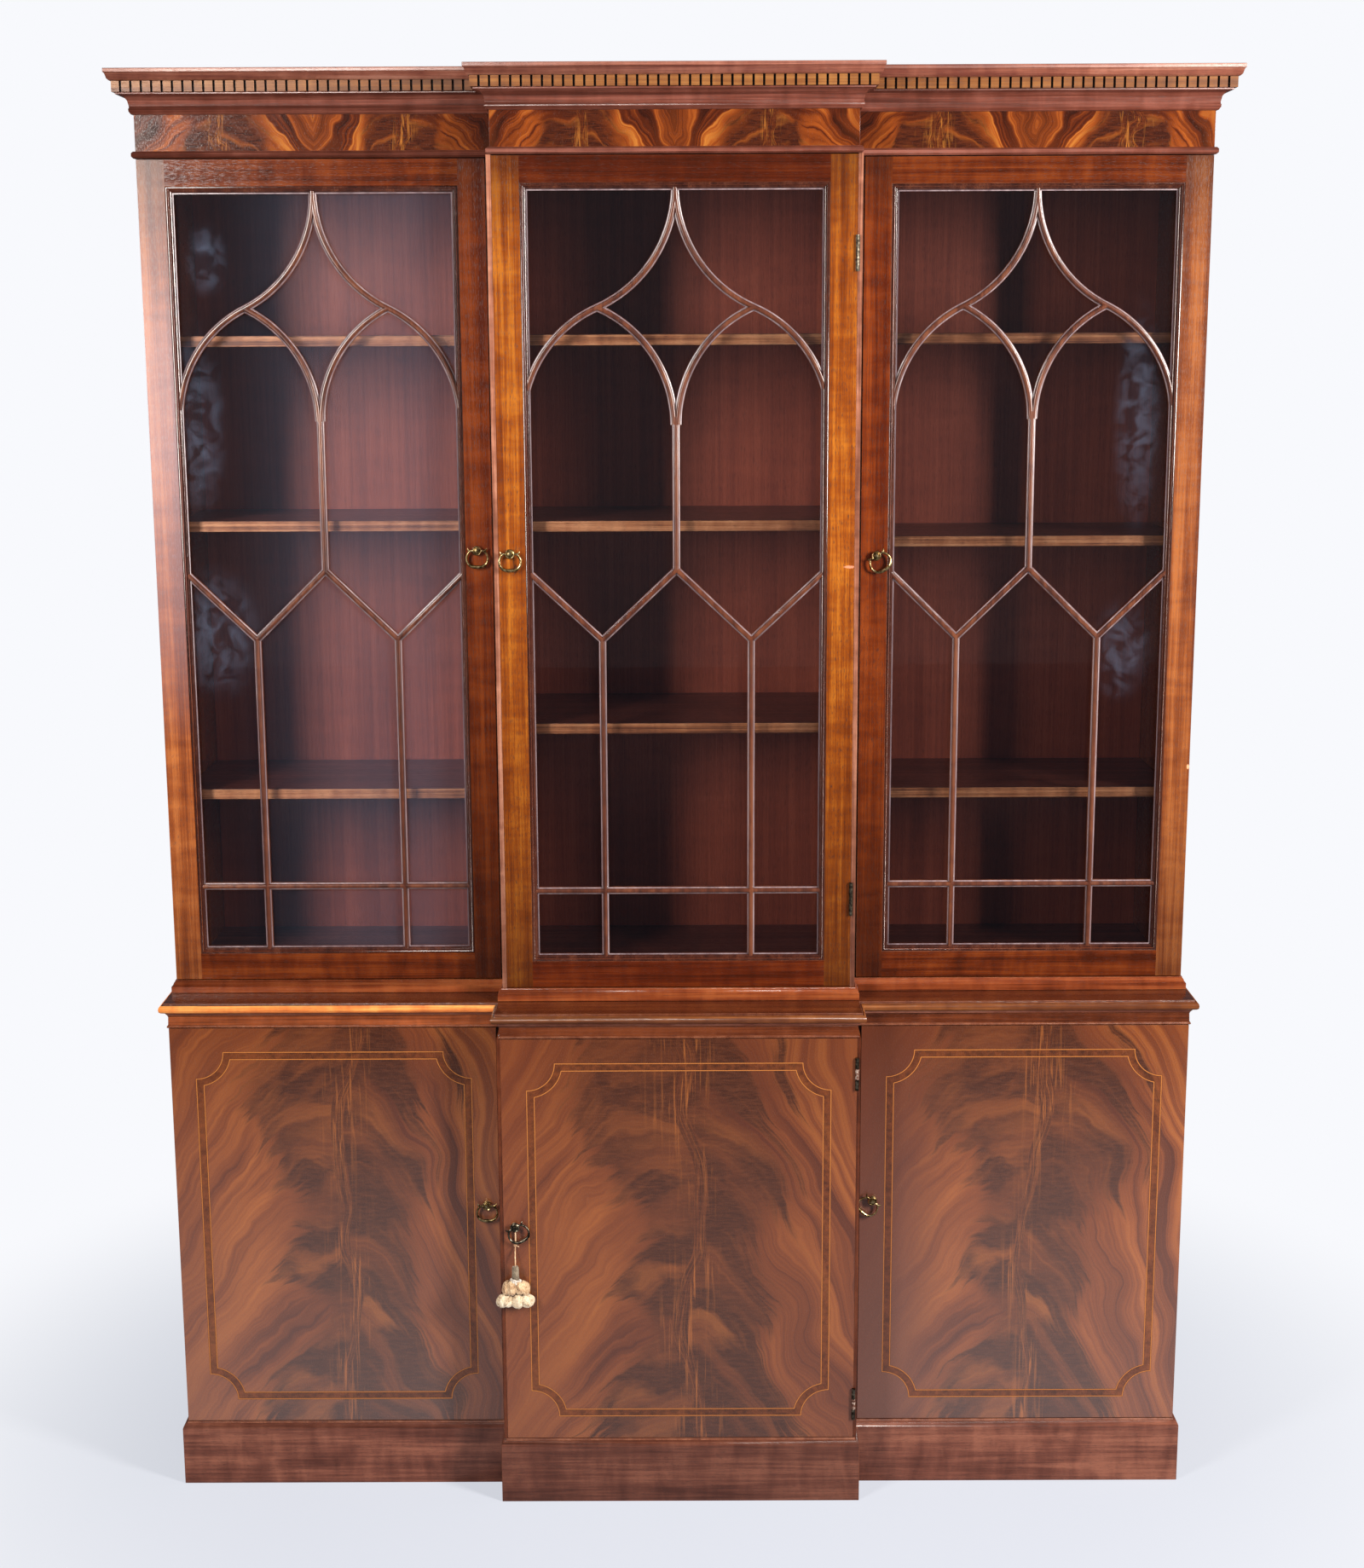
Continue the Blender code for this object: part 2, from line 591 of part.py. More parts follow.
def bay_panel(case, bay):
    # Runs from the back to the front of the middle bay, where a lip frames the middle door
    sign = SIDES[bay]
    outer = sign * case["bay"]
    inner = sign * (case["bay"] - BOARD)
    lip = sign * (case["centre_half"] + GAP)
    front = case["centre"]
    shoulder = front + door_room
    name = case["name"] + "_partition_" + bay
    piece = block(name, *between(inner, outer, (front, case["low"]), (board_back, case["high"])))
    floor = between(inner - sign * OVERRUN, outer + sign * OVERRUN, (shoulder - GAP, case["low"] - OVERRUN),
                    (back, case["floor"] + GAP))
    cut(piece, block(name + "_floor", *floor))
    if case["roof"] < case["high"]:
        roof = between(inner - sign * OVERRUN, outer + sign * OVERRUN, (shoulder - GAP, case["roof"] - GAP),
                       (back, case["high"] + OVERRUN))
        cut(piece, block(name + "_roof", *roof))
    rebate = between(inner - sign * OVERRUN, lip, (front - OVERRUN, case["low"] - OVERRUN),
                     (shoulder, case["high"] + OVERRUN))
    cut(piece, block(name + "_rebate", *rebate))
    stop_low = (case["wing"] + door_room, case["floor"] + 2 * GAP)
    stop_high = (case["wing"] + door_room + STOP_THICKNESS, min(case["roof"], case["high"]) - 2 * GAP)
    stop = between(outer - sign * OVERRUN, outer + sign * STOP_WIDTH, stop_low, stop_high)
    join(piece, block(name + "_stop", *stop))
    cut(piece, lock_pocket(case, bay, outer, -sign, WING_POCKET))
    pins = shelf_pins(case, bay, outer, sign) + shelf_pins(case, "centre", inner, -sign)
    join(piece, rods(name + "_shelf_pins", pins, PIN_RADIUS, PIN_SIDES))
    if bay == "left":
        cut(piece, lock_pocket(case, "centre", lip, sign, CENTRE_POCKET))
    else:
        hang_case_side(piece, case, "centre")
    wood(piece, "mahogany")


def back_panel(case):
    inner = case["half"] - BOARD - GAP
    piece = block(case["name"] + "_back_panel", (-inner, back - BACK_BOARD, case["low"]),
                  (inner, back, case["high"]))
    wood(piece, "inside_mahogany", 0.5)


def shelves(case):
    for level, tops in case["shelves"].items():
        for bay, top in tops.items():
            left, right, front, rear = shelf_span(case, bay)
            name = "_".join(word for word in (case["name"], "shelf", bay, level) if word)
            wood(block(name, (left, front, top - SHELF), (right, rear, top)), "shelf_edge", 0.5)


# Doors
def door_edges(case, bay):
    # Left edge, right edge and face of a door
    if bay == "centre":
        return -case["centre_half"], case["centre_half"], case["centre"]
    ends = sorted([SIDES[bay] * case["half"], SIDES[bay] * case["wing_inner"]])
    return ends[0], ends[1], case["wing"]


def opening_edges(case, bay):
    # Left, right, bottom and top edges of the glazed opening, outside the sight moulding
    left, right, _ = door_edges(case, bay)
    return left + STILE, right - STILE, case["door_low"] + BOTTOM_RAIL, case["door_high"] - TOP_RAIL


def door_origin(case, bay):
    return (*hinge_axis(case, bay), case["door_low"])


def bolt_span(case, bay):
    # Tip and tail of the drawn bolt, and the way it shoots
    left, right, _ = door_edges(case, bay)
    edge, shoots = (left, -1) if bay in ("centre", "right") else (right, 1)
    tip = edge - shoots * BOLT_SETBACK
    return tip, tip - shoots * BOLT_LENGTH, shoots


def fit_lock(piece, case, bay):
    # Keyhole, lock chamber and the slot that the bolt slides in
    key = case["keys"][bay]
    _, _, face = door_edges(case, bay)
    tag = piece.name
    hole = ((key["out"], face - OVERRUN, key["up"]), (key["out"], face + LOCK_NEAR + OVERRUN, key["up"]))
    chamber = ((key["out"], face + LOCK_NEAR, key["up"]), (key["out"], face + LOCK_FAR, key["up"]))
    tip, tail, shoots = bolt_span(case, bay)
    near = face + (LOCK_NEAR + LOCK_FAR - BOLT_THICKNESS) / 2 - GAP
    level = key["up"] + BOLT_LIFT - GAP
    slot = between(tip + shoots * OVERRUN, tail - shoots * GAP, (near, level),
                   (near + BOLT_THICKNESS + 2 * GAP, level + BOLT_HEIGHT + 2 * GAP))
    cut(piece, rods(tag + "_chamber", [chamber], LOCK_RADIUS, LOCK_SIDES))
    cut(piece, rods(tag + "_keyhole", [hole], KEYHOLE, HINGE_SIDES))
    cut(piece, block(tag + "_bolt_slot", *slot))


def glazed_frame(case, bay):
    # Stiles and rails with the sight moulding mitred at the corners and the glass rebate behind it
    left, right, face = door_edges(case, bay)
    low, high = case["door_low"], case["door_high"]
    open_left, open_right, open_low, open_high = opening_edges(case, bay)
    outline = sight_shares + [(1 - REBATE / SIGHT, 1), (1 - REBATE / SIGHT, DOOR_THICKNESS / SIGHT_DEPTH),
                              (-1, DOOR_THICKNESS / SIGHT_DEPTH)]
    corners = [(left, low, open_left, open_low), (right, low, open_right, open_low),
               (right, high, open_right, open_high), (left, high, open_left, open_high)]
    sections = []
    for edge_x, edge_z, open_x, open_z in corners:
        step_x = math.copysign(SIGHT, open_x - edge_x)
        step_z = math.copysign(SIGHT, open_z - edge_z)
        section = []
        for share, deep in outline:
            if share <= 0:
                x = open_x + (open_x - edge_x) * share
                z = open_z + (open_z - edge_z) * share
            else:
                x = open_x + step_x * share
                z = open_z + step_z * share
            section.append((x, face + deep * SIGHT_DEPTH, z))
        sections.append(section)
    piece = loft("door_frame_" + bay, sections, ring=True, origin=door_origin(case, bay))
    fit_lock(piece, case, bay)
    hang_door_side(piece, case, bay)
    wood(piece, "mahogany", 0.28)
    return piece


def glass_sheet(case, bay):
    _, _, face = door_edges(case, bay)
    left, right, low, high = opening_edges(case, bay)
    inset = SIGHT - REBATE + GAP
    piece = block("glass_" + bay, (left + inset, face + SIGHT_DEPTH + GAP, low + inset),
                  (right - inset, face + SIGHT_DEPTH + GAP + GLASS, high - inset), door_origin(case, bay))
    finish(piece, (0.75, 0.80, 0.85), 0.05, alpha=0.25)
    return piece


def bar(name, path, face):
    # A glazing bar along (x, z) points, mitred at each of them
    sections = []
    half = BAR_WIDTH / 2
    depth = SIGHT_DEPTH - BAR_SETBACK
    for here, point in enumerate(path):
        before = (point - path[here - 1]).normalized() if here > 0 else (path[1] - point).normalized()
        after = (path[here + 1] - point).normalized() if here < len(path) - 1 else before
        normal = Vector((-(before.y + after.y), before.x + after.x)).normalized()
        reach = half / normal.dot(Vector((-before.y, before.x)))
        sections.append([(point.x + normal.x * side * reach, face + BAR_SETBACK + deep * depth,
                          point.y + normal.y * side * reach) for side, deep in bar_shares])
    return loft(name, sections)


def ogee_path(middle, sign, high, sizes):
    # From the apex round the hollow upper arc, then smoothly into the round arc of the arch
    rise = sizes["tip_drop"] - sizes["apex_drop"]
    turn = 2 * math.atan2(sizes["tip_out"], rise)
    hollow = rise / math.sin(turn)
    points = []
    for step in range(ARC_STEPS):
        angle = turn * step / ARC_STEPS
        points.append((hollow * (1 - math.cos(angle)), sizes["apex_drop"] + hollow * math.sin(angle)))
    return [Vector((middle + sign * out, high - drop)) for out, drop in points] + \
        arch_path(middle, sign, 1, high, sizes)


def arch_path(middle, sign, side, high, sizes):
    # From the tip of an arch down to its foot; side 1 falls to the stile, -1 to the middle bar
    turn = 2 * math.atan2(sizes["tip_out"], sizes["tip_drop"] - sizes["apex_drop"])
    lean = math.radians(FOOT_ANGLE)
    radius = sizes["tip_out"] * arch_share / (math.cos(lean) - math.cos(turn))
    points = []
    for step in range(ARC_STEPS + 1):
        angle = turn * (1 - step / ARC_STEPS)
        out = sizes["tip_out"] + side * radius * (math.cos(angle) - math.cos(turn))
        drop = sizes["tip_drop"] + radius * (math.sin(turn) - math.sin(angle))
        points.append(Vector((middle + sign * out, high - drop)))
    return points


def tracery(case, bay, sizes):
    # Ogee over two pointed arches, a middle bar, a zigzag and a grid below it, cut to the opening
    edge_left, edge_right, face = door_edges(case, bay)
    left, right, bottom, top = opening_edges(case, bay)
    middle = (left + right) / 2
    low = case["door_low"]
    half = (right - left) / 2
    high = case["door_high"]
    merge = arch_path(middle, 1, -1, high, sizes)[-1].y

    def place(out, up):
        return Vector((middle + out, low + up))
    paths = {}
    for hand, sign in SIDES.items():
        paths["ogee_" + hand] = ogee_path(middle, sign, high, sizes)
        paths["arch_" + hand] = arch_path(middle, sign, -1, high, sizes)
        paths["leg_" + hand] = [place(sign * sizes["vee_out"], sizes["vee_low"]),
                                place(sign * sizes["vee_out"], 0)]
    paths["middle"] = [Vector((middle, merge + BAR_WIDTH)), place(0, sizes["vee_top"])]
    paths["zigzag"] = [place(-half, sizes["vee_top"]), place(-sizes["vee_out"], sizes["vee_low"]),
                       place(0, sizes["vee_top"]), place(sizes["vee_out"], sizes["vee_low"]),
                       place(half, sizes["vee_top"])]
    paths["cross"] = [place(-half, sizes["cross"]), place(half, sizes["cross"])]
    name = "tracery_" + bay
    piece = bar(name, paths.pop("zigzag"), face)
    for part, path in paths.items():
        join(piece, bar(name + "_" + part, path, face))
    inset = SIGHT + GAP
    window = block(name + "_window", (left + inset, face, bottom + inset),
                   (right - inset, face + SIGHT_DEPTH + OVERRUN, top - inset))
    combine(piece, window, "INTERSECT")
    wood(piece, "mahogany", 0.28)
    return piece


def cupboard_door(case, bay):
    left, right, face = door_edges(case, bay)
    piece = block("cupboard_door_" + bay, (left, face, case["door_low"]),
                  (right, face + DOOR_THICKNESS, case["door_high"]), door_origin(case, bay))
    fit_lock(piece, case, bay)
    hang_door_side(piece, case, bay)
    wood(piece, "flame_mahogany", 0.25)
    return piece


# Keys turn about Y on the lock's axis, and a bail hangs across each key's head
def to_face(piece, place, turn):
    # Stands a piece that was drawn about Z on the door face, its height pointing to the front
    piece.matrix_world = Matrix.Translation(place) @ Matrix.Rotation(math.radians(turn), 4, "Y")


def key(case, bay):
    spot = case["keys"][bay]
    _, _, face = door_edges(case, bay)
    name = "key_" + case["name"] + "_" + bay
    outline = scaled(key_shares, KEY_HEAD, KEY_REACH, 0)
    outline += [(KEY_SHANK, outline[-1][1]), (KEY_SHANK, -KEY_DEPTH), (0, -KEY_DEPTH)]
    piece = turned(name, outline, KEY_STEPS)
    piece.data.transform(Matrix.Rotation(math.radians(90), 4, "X"))
    middle = (LOCK_NEAR + LOCK_FAR) / 2
    bit = block(name + "_bit", (-BIT_WIDTH / 2, middle - BOLT_THICKNESS / 2, -BIT_REACH),
                (BIT_WIDTH / 2, middle + BOLT_THICKNESS / 2, 0))
    place = Vector((spot["out"], face, spot["up"]))
    to_face(piece, place, spot["turn"])
    to_face(bit, place, spot["turn"])
    join(piece, bit)
    brass(piece)
    return piece


def bail(case, bay):
    spot = case["keys"][bay]
    _, _, face = door_edges(case, bay)
    half = [(out * BAIL_REACH, 0, up * BAIL_DROP) for out, up in bail_shares]
    points = half + [(-x, y, z) for x, y, z in reversed(half[:-1])]
    swell_shares = [1.0, 1.0, 1.0, 1.0, 1.0, 1.05, 1.15, 1.35, 1.45]
    piece = tube("bail_" + case["name"] + "_" + bay, points, BAIL_WIRE,
                 swell_shares + list(reversed(swell_shares[:-1])))
    to_face(piece, Vector((spot["out"], face - BAIL_STAND, spot["up"])), spot["turn"])
    brass(piece)
    return piece


def bolt(case, bay):
    spot = case["keys"][bay]
    _, _, face = door_edges(case, bay)
    tip, tail, _ = bolt_span(case, bay)
    near = face + (LOCK_NEAR + LOCK_FAR - BOLT_THICKNESS) / 2
    level = spot["up"] + BOLT_LIFT
    piece = block("bolt_" + case["name"] + "_" + bay,
                  *between(tip, tail, (near, level), (near + BOLT_THICKNESS, level + BOLT_HEIGHT)))
    brass(piece)
    return piece


def tassel(case):
    # A loop of cord round the key's neck, the cord behind the bail, and the tassel against the door
    spot = case["keys"]["centre"]
    _, _, face = door_edges(case, "centre")
    hang = Vector((spot["out"], face - LOOP_STAND, spot["up"]))
    bpy.ops.mesh.primitive_torus_add(major_segments=TASSEL_STEPS, minor_segments=8,
                                     major_radius=LOOP_RADIUS, minor_radius=CORD_RADIUS,
                                     rotation=(math.radians(90), 0, 0))
    loop = bpy.context.object
    for home in list(loop.users_collection):
        home.objects.unlink(loop)
    bookcase.objects.link(loop)
    loop.name = "tassel"
    loop.location = hang
    out = CORD_STAND - LOOP_STAND
    cord = tube("tassel_cord", [hang + Vector((0, 0, -LOOP_RADIUS)), hang + Vector((0, 0, -CORD_CLEAR)),
                                hang + Vector((0, -out / 2, -(CORD_CLEAR + CORD_DROP) / 2)),
                                hang + Vector((0, -out, -CORD_DROP - OVERRUN))], CORD_RADIUS)
    join(loop, cord)
    body = turned("tassel_body", [(wide * TASSEL_HALF_WIDTH, up * TASSEL_HEIGHT) for wide, up in tassel_shares],
                  TASSEL_STEPS)
    body.data.transform(Matrix.Diagonal((1, TASSEL_HALF_DEPTH / TASSEL_HALF_WIDTH, 1, 1)))
    body.location = hang + Vector((0, -out, -CORD_DROP - TASSEL_HEIGHT))
    join(loop, body)
    finish(loop, (0.80, 0.68, 0.48), 0.9)
    return loop


def hang_on(carrier, *pieces):
    bpy.context.view_layer.update()
    for piece in pieces:
        piece.parent = carrier
        piece.matrix_parent_inverse = carrier.matrix_world.inverted()


def build():
    plinth()
    waist_board()
    case_boards()
    cornice()
    dentil_course()
    for case in (LOWER, UPPER):
        back_panel(case)
        shelves(case)
        for bay in SIDES:
            case_side(case, bay)
            bay_panel(case, bay)
    for case in (LOWER, UPPER):
        for bay in ("left", "centre", "right"):
            if case is UPPER:
                door = glazed_frame(case, bay)
                sizes = CENTRE_BARS if bay == "centre" else WING_BARS
                hang_on(door, tracery(case, bay, sizes), glass_sheet(case, bay))
            else:
                door = cupboard_door(case, bay)
            turning_key = key(case, bay)
            hang_on(door, turning_key, bolt(case, bay))
            hang_on(turning_key, bail(case, bay))
            if case is LOWER and bay == "centre":
                hang_on(door, tassel(case))


build()
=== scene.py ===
import math
import random

import bpy
from mathutils import Matrix, Vector


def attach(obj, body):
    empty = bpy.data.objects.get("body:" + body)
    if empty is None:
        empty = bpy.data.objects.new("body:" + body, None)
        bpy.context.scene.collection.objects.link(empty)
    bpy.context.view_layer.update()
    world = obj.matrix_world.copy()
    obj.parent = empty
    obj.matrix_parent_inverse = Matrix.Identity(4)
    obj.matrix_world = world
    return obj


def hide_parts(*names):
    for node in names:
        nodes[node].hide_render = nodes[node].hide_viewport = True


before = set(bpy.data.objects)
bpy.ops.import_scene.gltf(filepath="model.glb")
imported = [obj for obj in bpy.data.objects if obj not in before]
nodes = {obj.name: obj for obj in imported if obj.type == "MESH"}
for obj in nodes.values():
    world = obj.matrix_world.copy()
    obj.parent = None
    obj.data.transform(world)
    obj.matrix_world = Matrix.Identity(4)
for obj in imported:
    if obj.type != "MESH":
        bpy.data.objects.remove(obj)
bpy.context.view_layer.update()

bpy.context.scene.view_settings.view_transform = "Standard"
bays = ("left", "centre", "right")

# Planes and levels of the bookcase, in metres, as its solids have them
sizes = {"upper": {"wing": -0.0785, "centre": -0.1285, "half": 0.766, "wingInner": 0.2707,
                   "centreHalf": 0.2575, "doorLow": 0.8011, "doorHigh": 2.0088},
         "lower": {"wing": -0.1345, "centre": -0.1945, "half": 0.7685, "wingInner": 0.2757,
                   "centreHalf": 0.2647, "doorLow": 0.102, "doorHigh": 0.740}}


def doorEdges(level, bay):
    # Left edge, right edge and face of a door
    size = sizes[level]
    if bay == "centre":
        return -size["centreHalf"], size["centreHalf"], size["centre"]
    side = -1 if bay == "left" else 1
    ends = sorted([side * size["half"], side * size["wingInner"]])
    return ends[0], ends[1], size["wing"]


# Bench settings, in metres and degrees: merging of points and of level facets, which edges are sharp and long
# enough to ease, how narrow a moulding's facet is, how far brass stands off its wood at least, and how near a
# fillet lies to its depth
bench = {"weld": 0.00001, "level": 0.4, "sharp": 50, "long": 0.05, "narrow": 0.006, "proud": 0.0002,
         "near": 0.0003}


# Bench tools: selecting, naming and settling pieces
def deselectAll():
    if bpy.context.object and bpy.context.object.mode != "OBJECT":
        bpy.ops.object.mode_set(mode="OBJECT")
    bpy.ops.object.select_all(action="DESELECT")


def pick(*things):
    deselectAll()
    for thing in things:
        thing.select_set(True)
    bpy.context.view_layer.objects.active = things[-1]


def named(name):
    made = bpy.context.object
    made.name = name
    return made


def settle(piece):
    # Puts the piece's place, turn and size into its mesh
    pick(piece)
    bpy.ops.object.transform_apply(location=True, rotation=True, scale=True)
    return piece


def tidyShell(piece, smooth):
    # Merges the seams, turns the faces outwards and rounds the shading
    pick(piece)
    bpy.ops.object.mode_set(mode="EDIT")
    bpy.ops.mesh.select_all(action="SELECT")
    bpy.ops.mesh.remove_doubles(threshold=bench["weld"])
    bpy.ops.mesh.normals_make_consistent(inside=False)
    bpy.ops.object.mode_set(mode="OBJECT")
    bpy.ops.object.shade_smooth_by_angle(angle=math.radians(smooth))
    return piece


def joined(name, pieces):
    pick(*pieces)
    if len(pieces) > 1:
        bpy.ops.object.join()
    return named(name)


def shell(name, rings, looped=False):
    # A skin over rings of points: an open run is capped, a looped one meets itself
    count = len(rings[0])
    faces = []
    for ring in range(len(rings) if looped else len(rings) - 1):
        after = (ring + 1) % len(rings)
        for spoke in range(count):
            beside = (spoke + 1) % count
            faces.append((ring * count + spoke, ring * count + beside, after * count + beside,
                          after * count + spoke))
    if not looped:
        faces.append(tuple(reversed(range(count))))
        faces.append(tuple(range((len(rings) - 1) * count, len(rings) * count)))
    mesh = bpy.data.meshes.new(name)
    mesh.from_pydata([tuple(point) for ring in rings for point in ring], [], faces)
    piece = bpy.data.objects.new(name, mesh)
    bpy.context.scene.collection.objects.link(piece)
    return piece


def lathe(name, rings, steps, squash, smooth):
    # A turned shape: the first ring is grown along Z by extrude and scale
    deselectAll()
    bpy.ops.mesh.primitive_circle_add(vertices=steps, radius=rings[0][0], fill_type="NGON",
                                      location=(0, 0, rings[0][1]))
    made = named(name)
    settle(made)
    bpy.ops.object.mode_set(mode="EDIT")
    bpy.ops.mesh.select_mode(type="FACE")
    bpy.ops.mesh.select_all(action="SELECT")
    for (wide, high), (nextWide, nextHigh) in zip(rings, rings[1:]):
        bpy.ops.mesh.extrude_region_move(TRANSFORM_OT_translate={"value": (0, 0, nextHigh - high)})
        share = nextWide / wide
        bpy.ops.transform.resize(value=(share, share, 1), center_override=(0, 0, nextHigh))
    bpy.ops.object.mode_set(mode="OBJECT")
    made.scale = (1, squash, 1)
    settle(made)
    return tidyShell(made, smooth)


# Wire: corners in each quarter of its round, steps between points and how smoothly it runs
wiring = {"corners": 4, "steps": 5, "order": 3, "smooth": 60}


def rod(name, points, radius, swell):
    # Round wire drawn smoothly by its points, as thick at each as swell says
    curve = bpy.data.curves.new(name, "CURVE")
    curve.dimensions = "3D"
    curve.bevel_depth = radius
    curve.bevel_resolution = wiring["corners"]
    curve.resolution_u = wiring["steps"]
    curve.use_fill_caps = True
    spline = curve.splines.new("NURBS")
    spline.points.add(len(points) - 1)
    for point, share, here in zip(points, swell, spline.points):
        here.co = (*point, 1.0)
        here.radius = share
    spline.order_u = wiring["order"]
    spline.use_endpoint_u = True
    drawn = bpy.data.objects.new(name, curve)
    bpy.context.scene.collection.objects.link(drawn)
    pick(drawn)
    bpy.ops.object.convert(target="MESH")
    return tidyShell(named(name), wiring["smooth"])


def fit(piece, body, look=None, stands=()):
    # The piece moves with the body, takes its finish and stands for solids
    if look is not None:
        piece.data.materials.clear()
        piece.data.materials.append(look)
    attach(piece, body)
    if stands:
        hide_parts(*stands)


# Colours and shader nodes
def toLinear(text):
    # sRGB hex to the linear values that shaders use
    values = [int(text[start:start + 2], 16) / 255 for start in (1, 3, 5)]
    return (*[v / 12.92 if v <= 0.04045 else ((v + 0.055) / 1.055) ** 2.4 for v in values], 1.0)


def add(tree, kind, links=None, out=0, stops=None, **settings):
    # Adds a node with its settings, fills or links its sockets, and gives back one output
    made = tree.nodes.new(kind)
    for word, value in settings.items():
        setattr(made, word, value)
    for spot, value in (links or {}).items():
        socket = made.inputs[spot]
        if isinstance(value, bpy.types.NodeSocket):
            tree.links.new(value, socket)
        else:
            socket.default_value = toLinear(value) if isinstance(value, str) else value
    if stops:
        ramp = made.color_ramp
        while len(ramp.elements) < len(stops):
            ramp.elements.new(0.5)
        for element, (place, colour) in zip(ramp.elements, stops):
            element.position = place
            element.color = toLinear(colour) if isinstance(colour, str) else (colour, colour, colour, 1)
    return made.outputs[out] if len(made.outputs) else None


def newLook(name):
    # An empty material, its nodes and the piece's own coordinates
    look = bpy.data.materials.new(name)
    look.use_nodes = True
    look.node_tree.nodes.clear()
    return look, look.node_tree, add(look.node_tree, "ShaderNodeTexCoord", out="Object")


def close(look, shader):
    add(look.node_tree, "ShaderNodeOutputMaterial", {"Surface": shader})
    return look


# Noise: how much its finer layers count for, in wood, cotton and brass
noise = {"rough": 0.55}


def stretched(tree, place, along, length, width, seed, detail=3.0, twist=0.0):
    # Noise drawn out along one axis: length along the grain and width across it, in millimetres
    scale = [1000 / width] * 3
    scale["XYZ".index(along)] = 1000 / length
    spot = add(tree, "ShaderNodeMapping", {"Vector": place, "Location": (seed, seed * 1.7, seed * 2.3),
                                           "Scale": scale})
    return add(tree, "ShaderNodeTexNoise", {"Vector": spot, "Scale": 1.0, "Detail": detail,
                                            "Roughness": noise["rough"], "Distortion": twist})


def ovalAt(tree, place, out, up, wide, high):
    # How far a point of the front lies from a spot, in half widths and half heights
    spot = add(tree, "ShaderNodeMapping", {"Vector": place, "Scale": (1 / wide, 0, 1 / high),
                                           "Location": (-out / wide, 0, -up / high)})
    return add(tree, "ShaderNodeVectorMath", {0: spot}, out="Value", operation="LENGTH")


# French polish and small dents, the same on all the wood; grain of the dents in millimetres
polish = {"ior": 1.5, "film": 0.12, "poreRough": 0.18, "poreRelief": 0.0004,
          "dentGrain": (3, 2), "ragged": 0.8, "dentEdge": (1.1, 1.5)}


def polished(tree, colour, pores, rough, coat, bump):
    # French polish over open pores: a soft gloss with a thin clear film on it
    roughness = add(tree, "ShaderNodeMapRange", {0: pores, 3: rough, 4: rough + polish["poreRough"]})
    normal = add(tree, "ShaderNodeBump", {"Strength": bump, "Distance": polish["poreRelief"],
                                          "Height": pores})
    return add(tree, "ShaderNodeBsdfPrincipled", {"Base Color": colour, "Roughness": roughness,
                                                  "IOR": polish["ior"], "Coat Weight": coat,
                                                  "Coat Roughness": polish["film"], "Normal": normal})


def marked(tree, colour, place, marks):
    # Small dents and rubbed places, each an uneven oval on the front
    edge = stretched(tree, place, "Z", *polish["dentGrain"], 6.6, 2)
    inner, outer = polish["dentEdge"]
    for mark in marks:
        far = ovalAt(tree, place, *mark["spot"], *mark["size"])
        ragged = add(tree, "ShaderNodeMath", {0: edge, 1: polish["ragged"], 2: far}, operation="MULTIPLY_ADD")
        share = add(tree, "ShaderNodeMapRange", {0: ragged, 1: inner, 2: outer, 3: mark["deep"], 4: 0.0})
        colour = add(tree, "ShaderNodeMix", {0: share, 6: colour, 7: mark["tone"]}, out=2, data_type="RGBA")
    return colour


# Straight grain, in millimetres: what a wood of the table below doesn't name is as here.
# Real pores are 0.3 mm wide; drawn 0.8 mm wide so that they show
plainGrain = {"ribbonLong": 520, "ribbon": 13, "mottleLong": 24, "mottleWide": 70, "mottle": 0.22,
              "lineLong": 130, "line": 1.9, "lines": 0.38, "spread": (0.40, 0.5, 0.60),
              "poreLong": 9, "pore": 0.8, "poreRange": (0.55, 0.66), "poreDepth": 0.45, "poreTone": "#2a0f08",
              "doors": (0.80, 2.01), "run": (), "marks": (), "rough": 0.21, "coat": 0.3, "bump": 0.12}


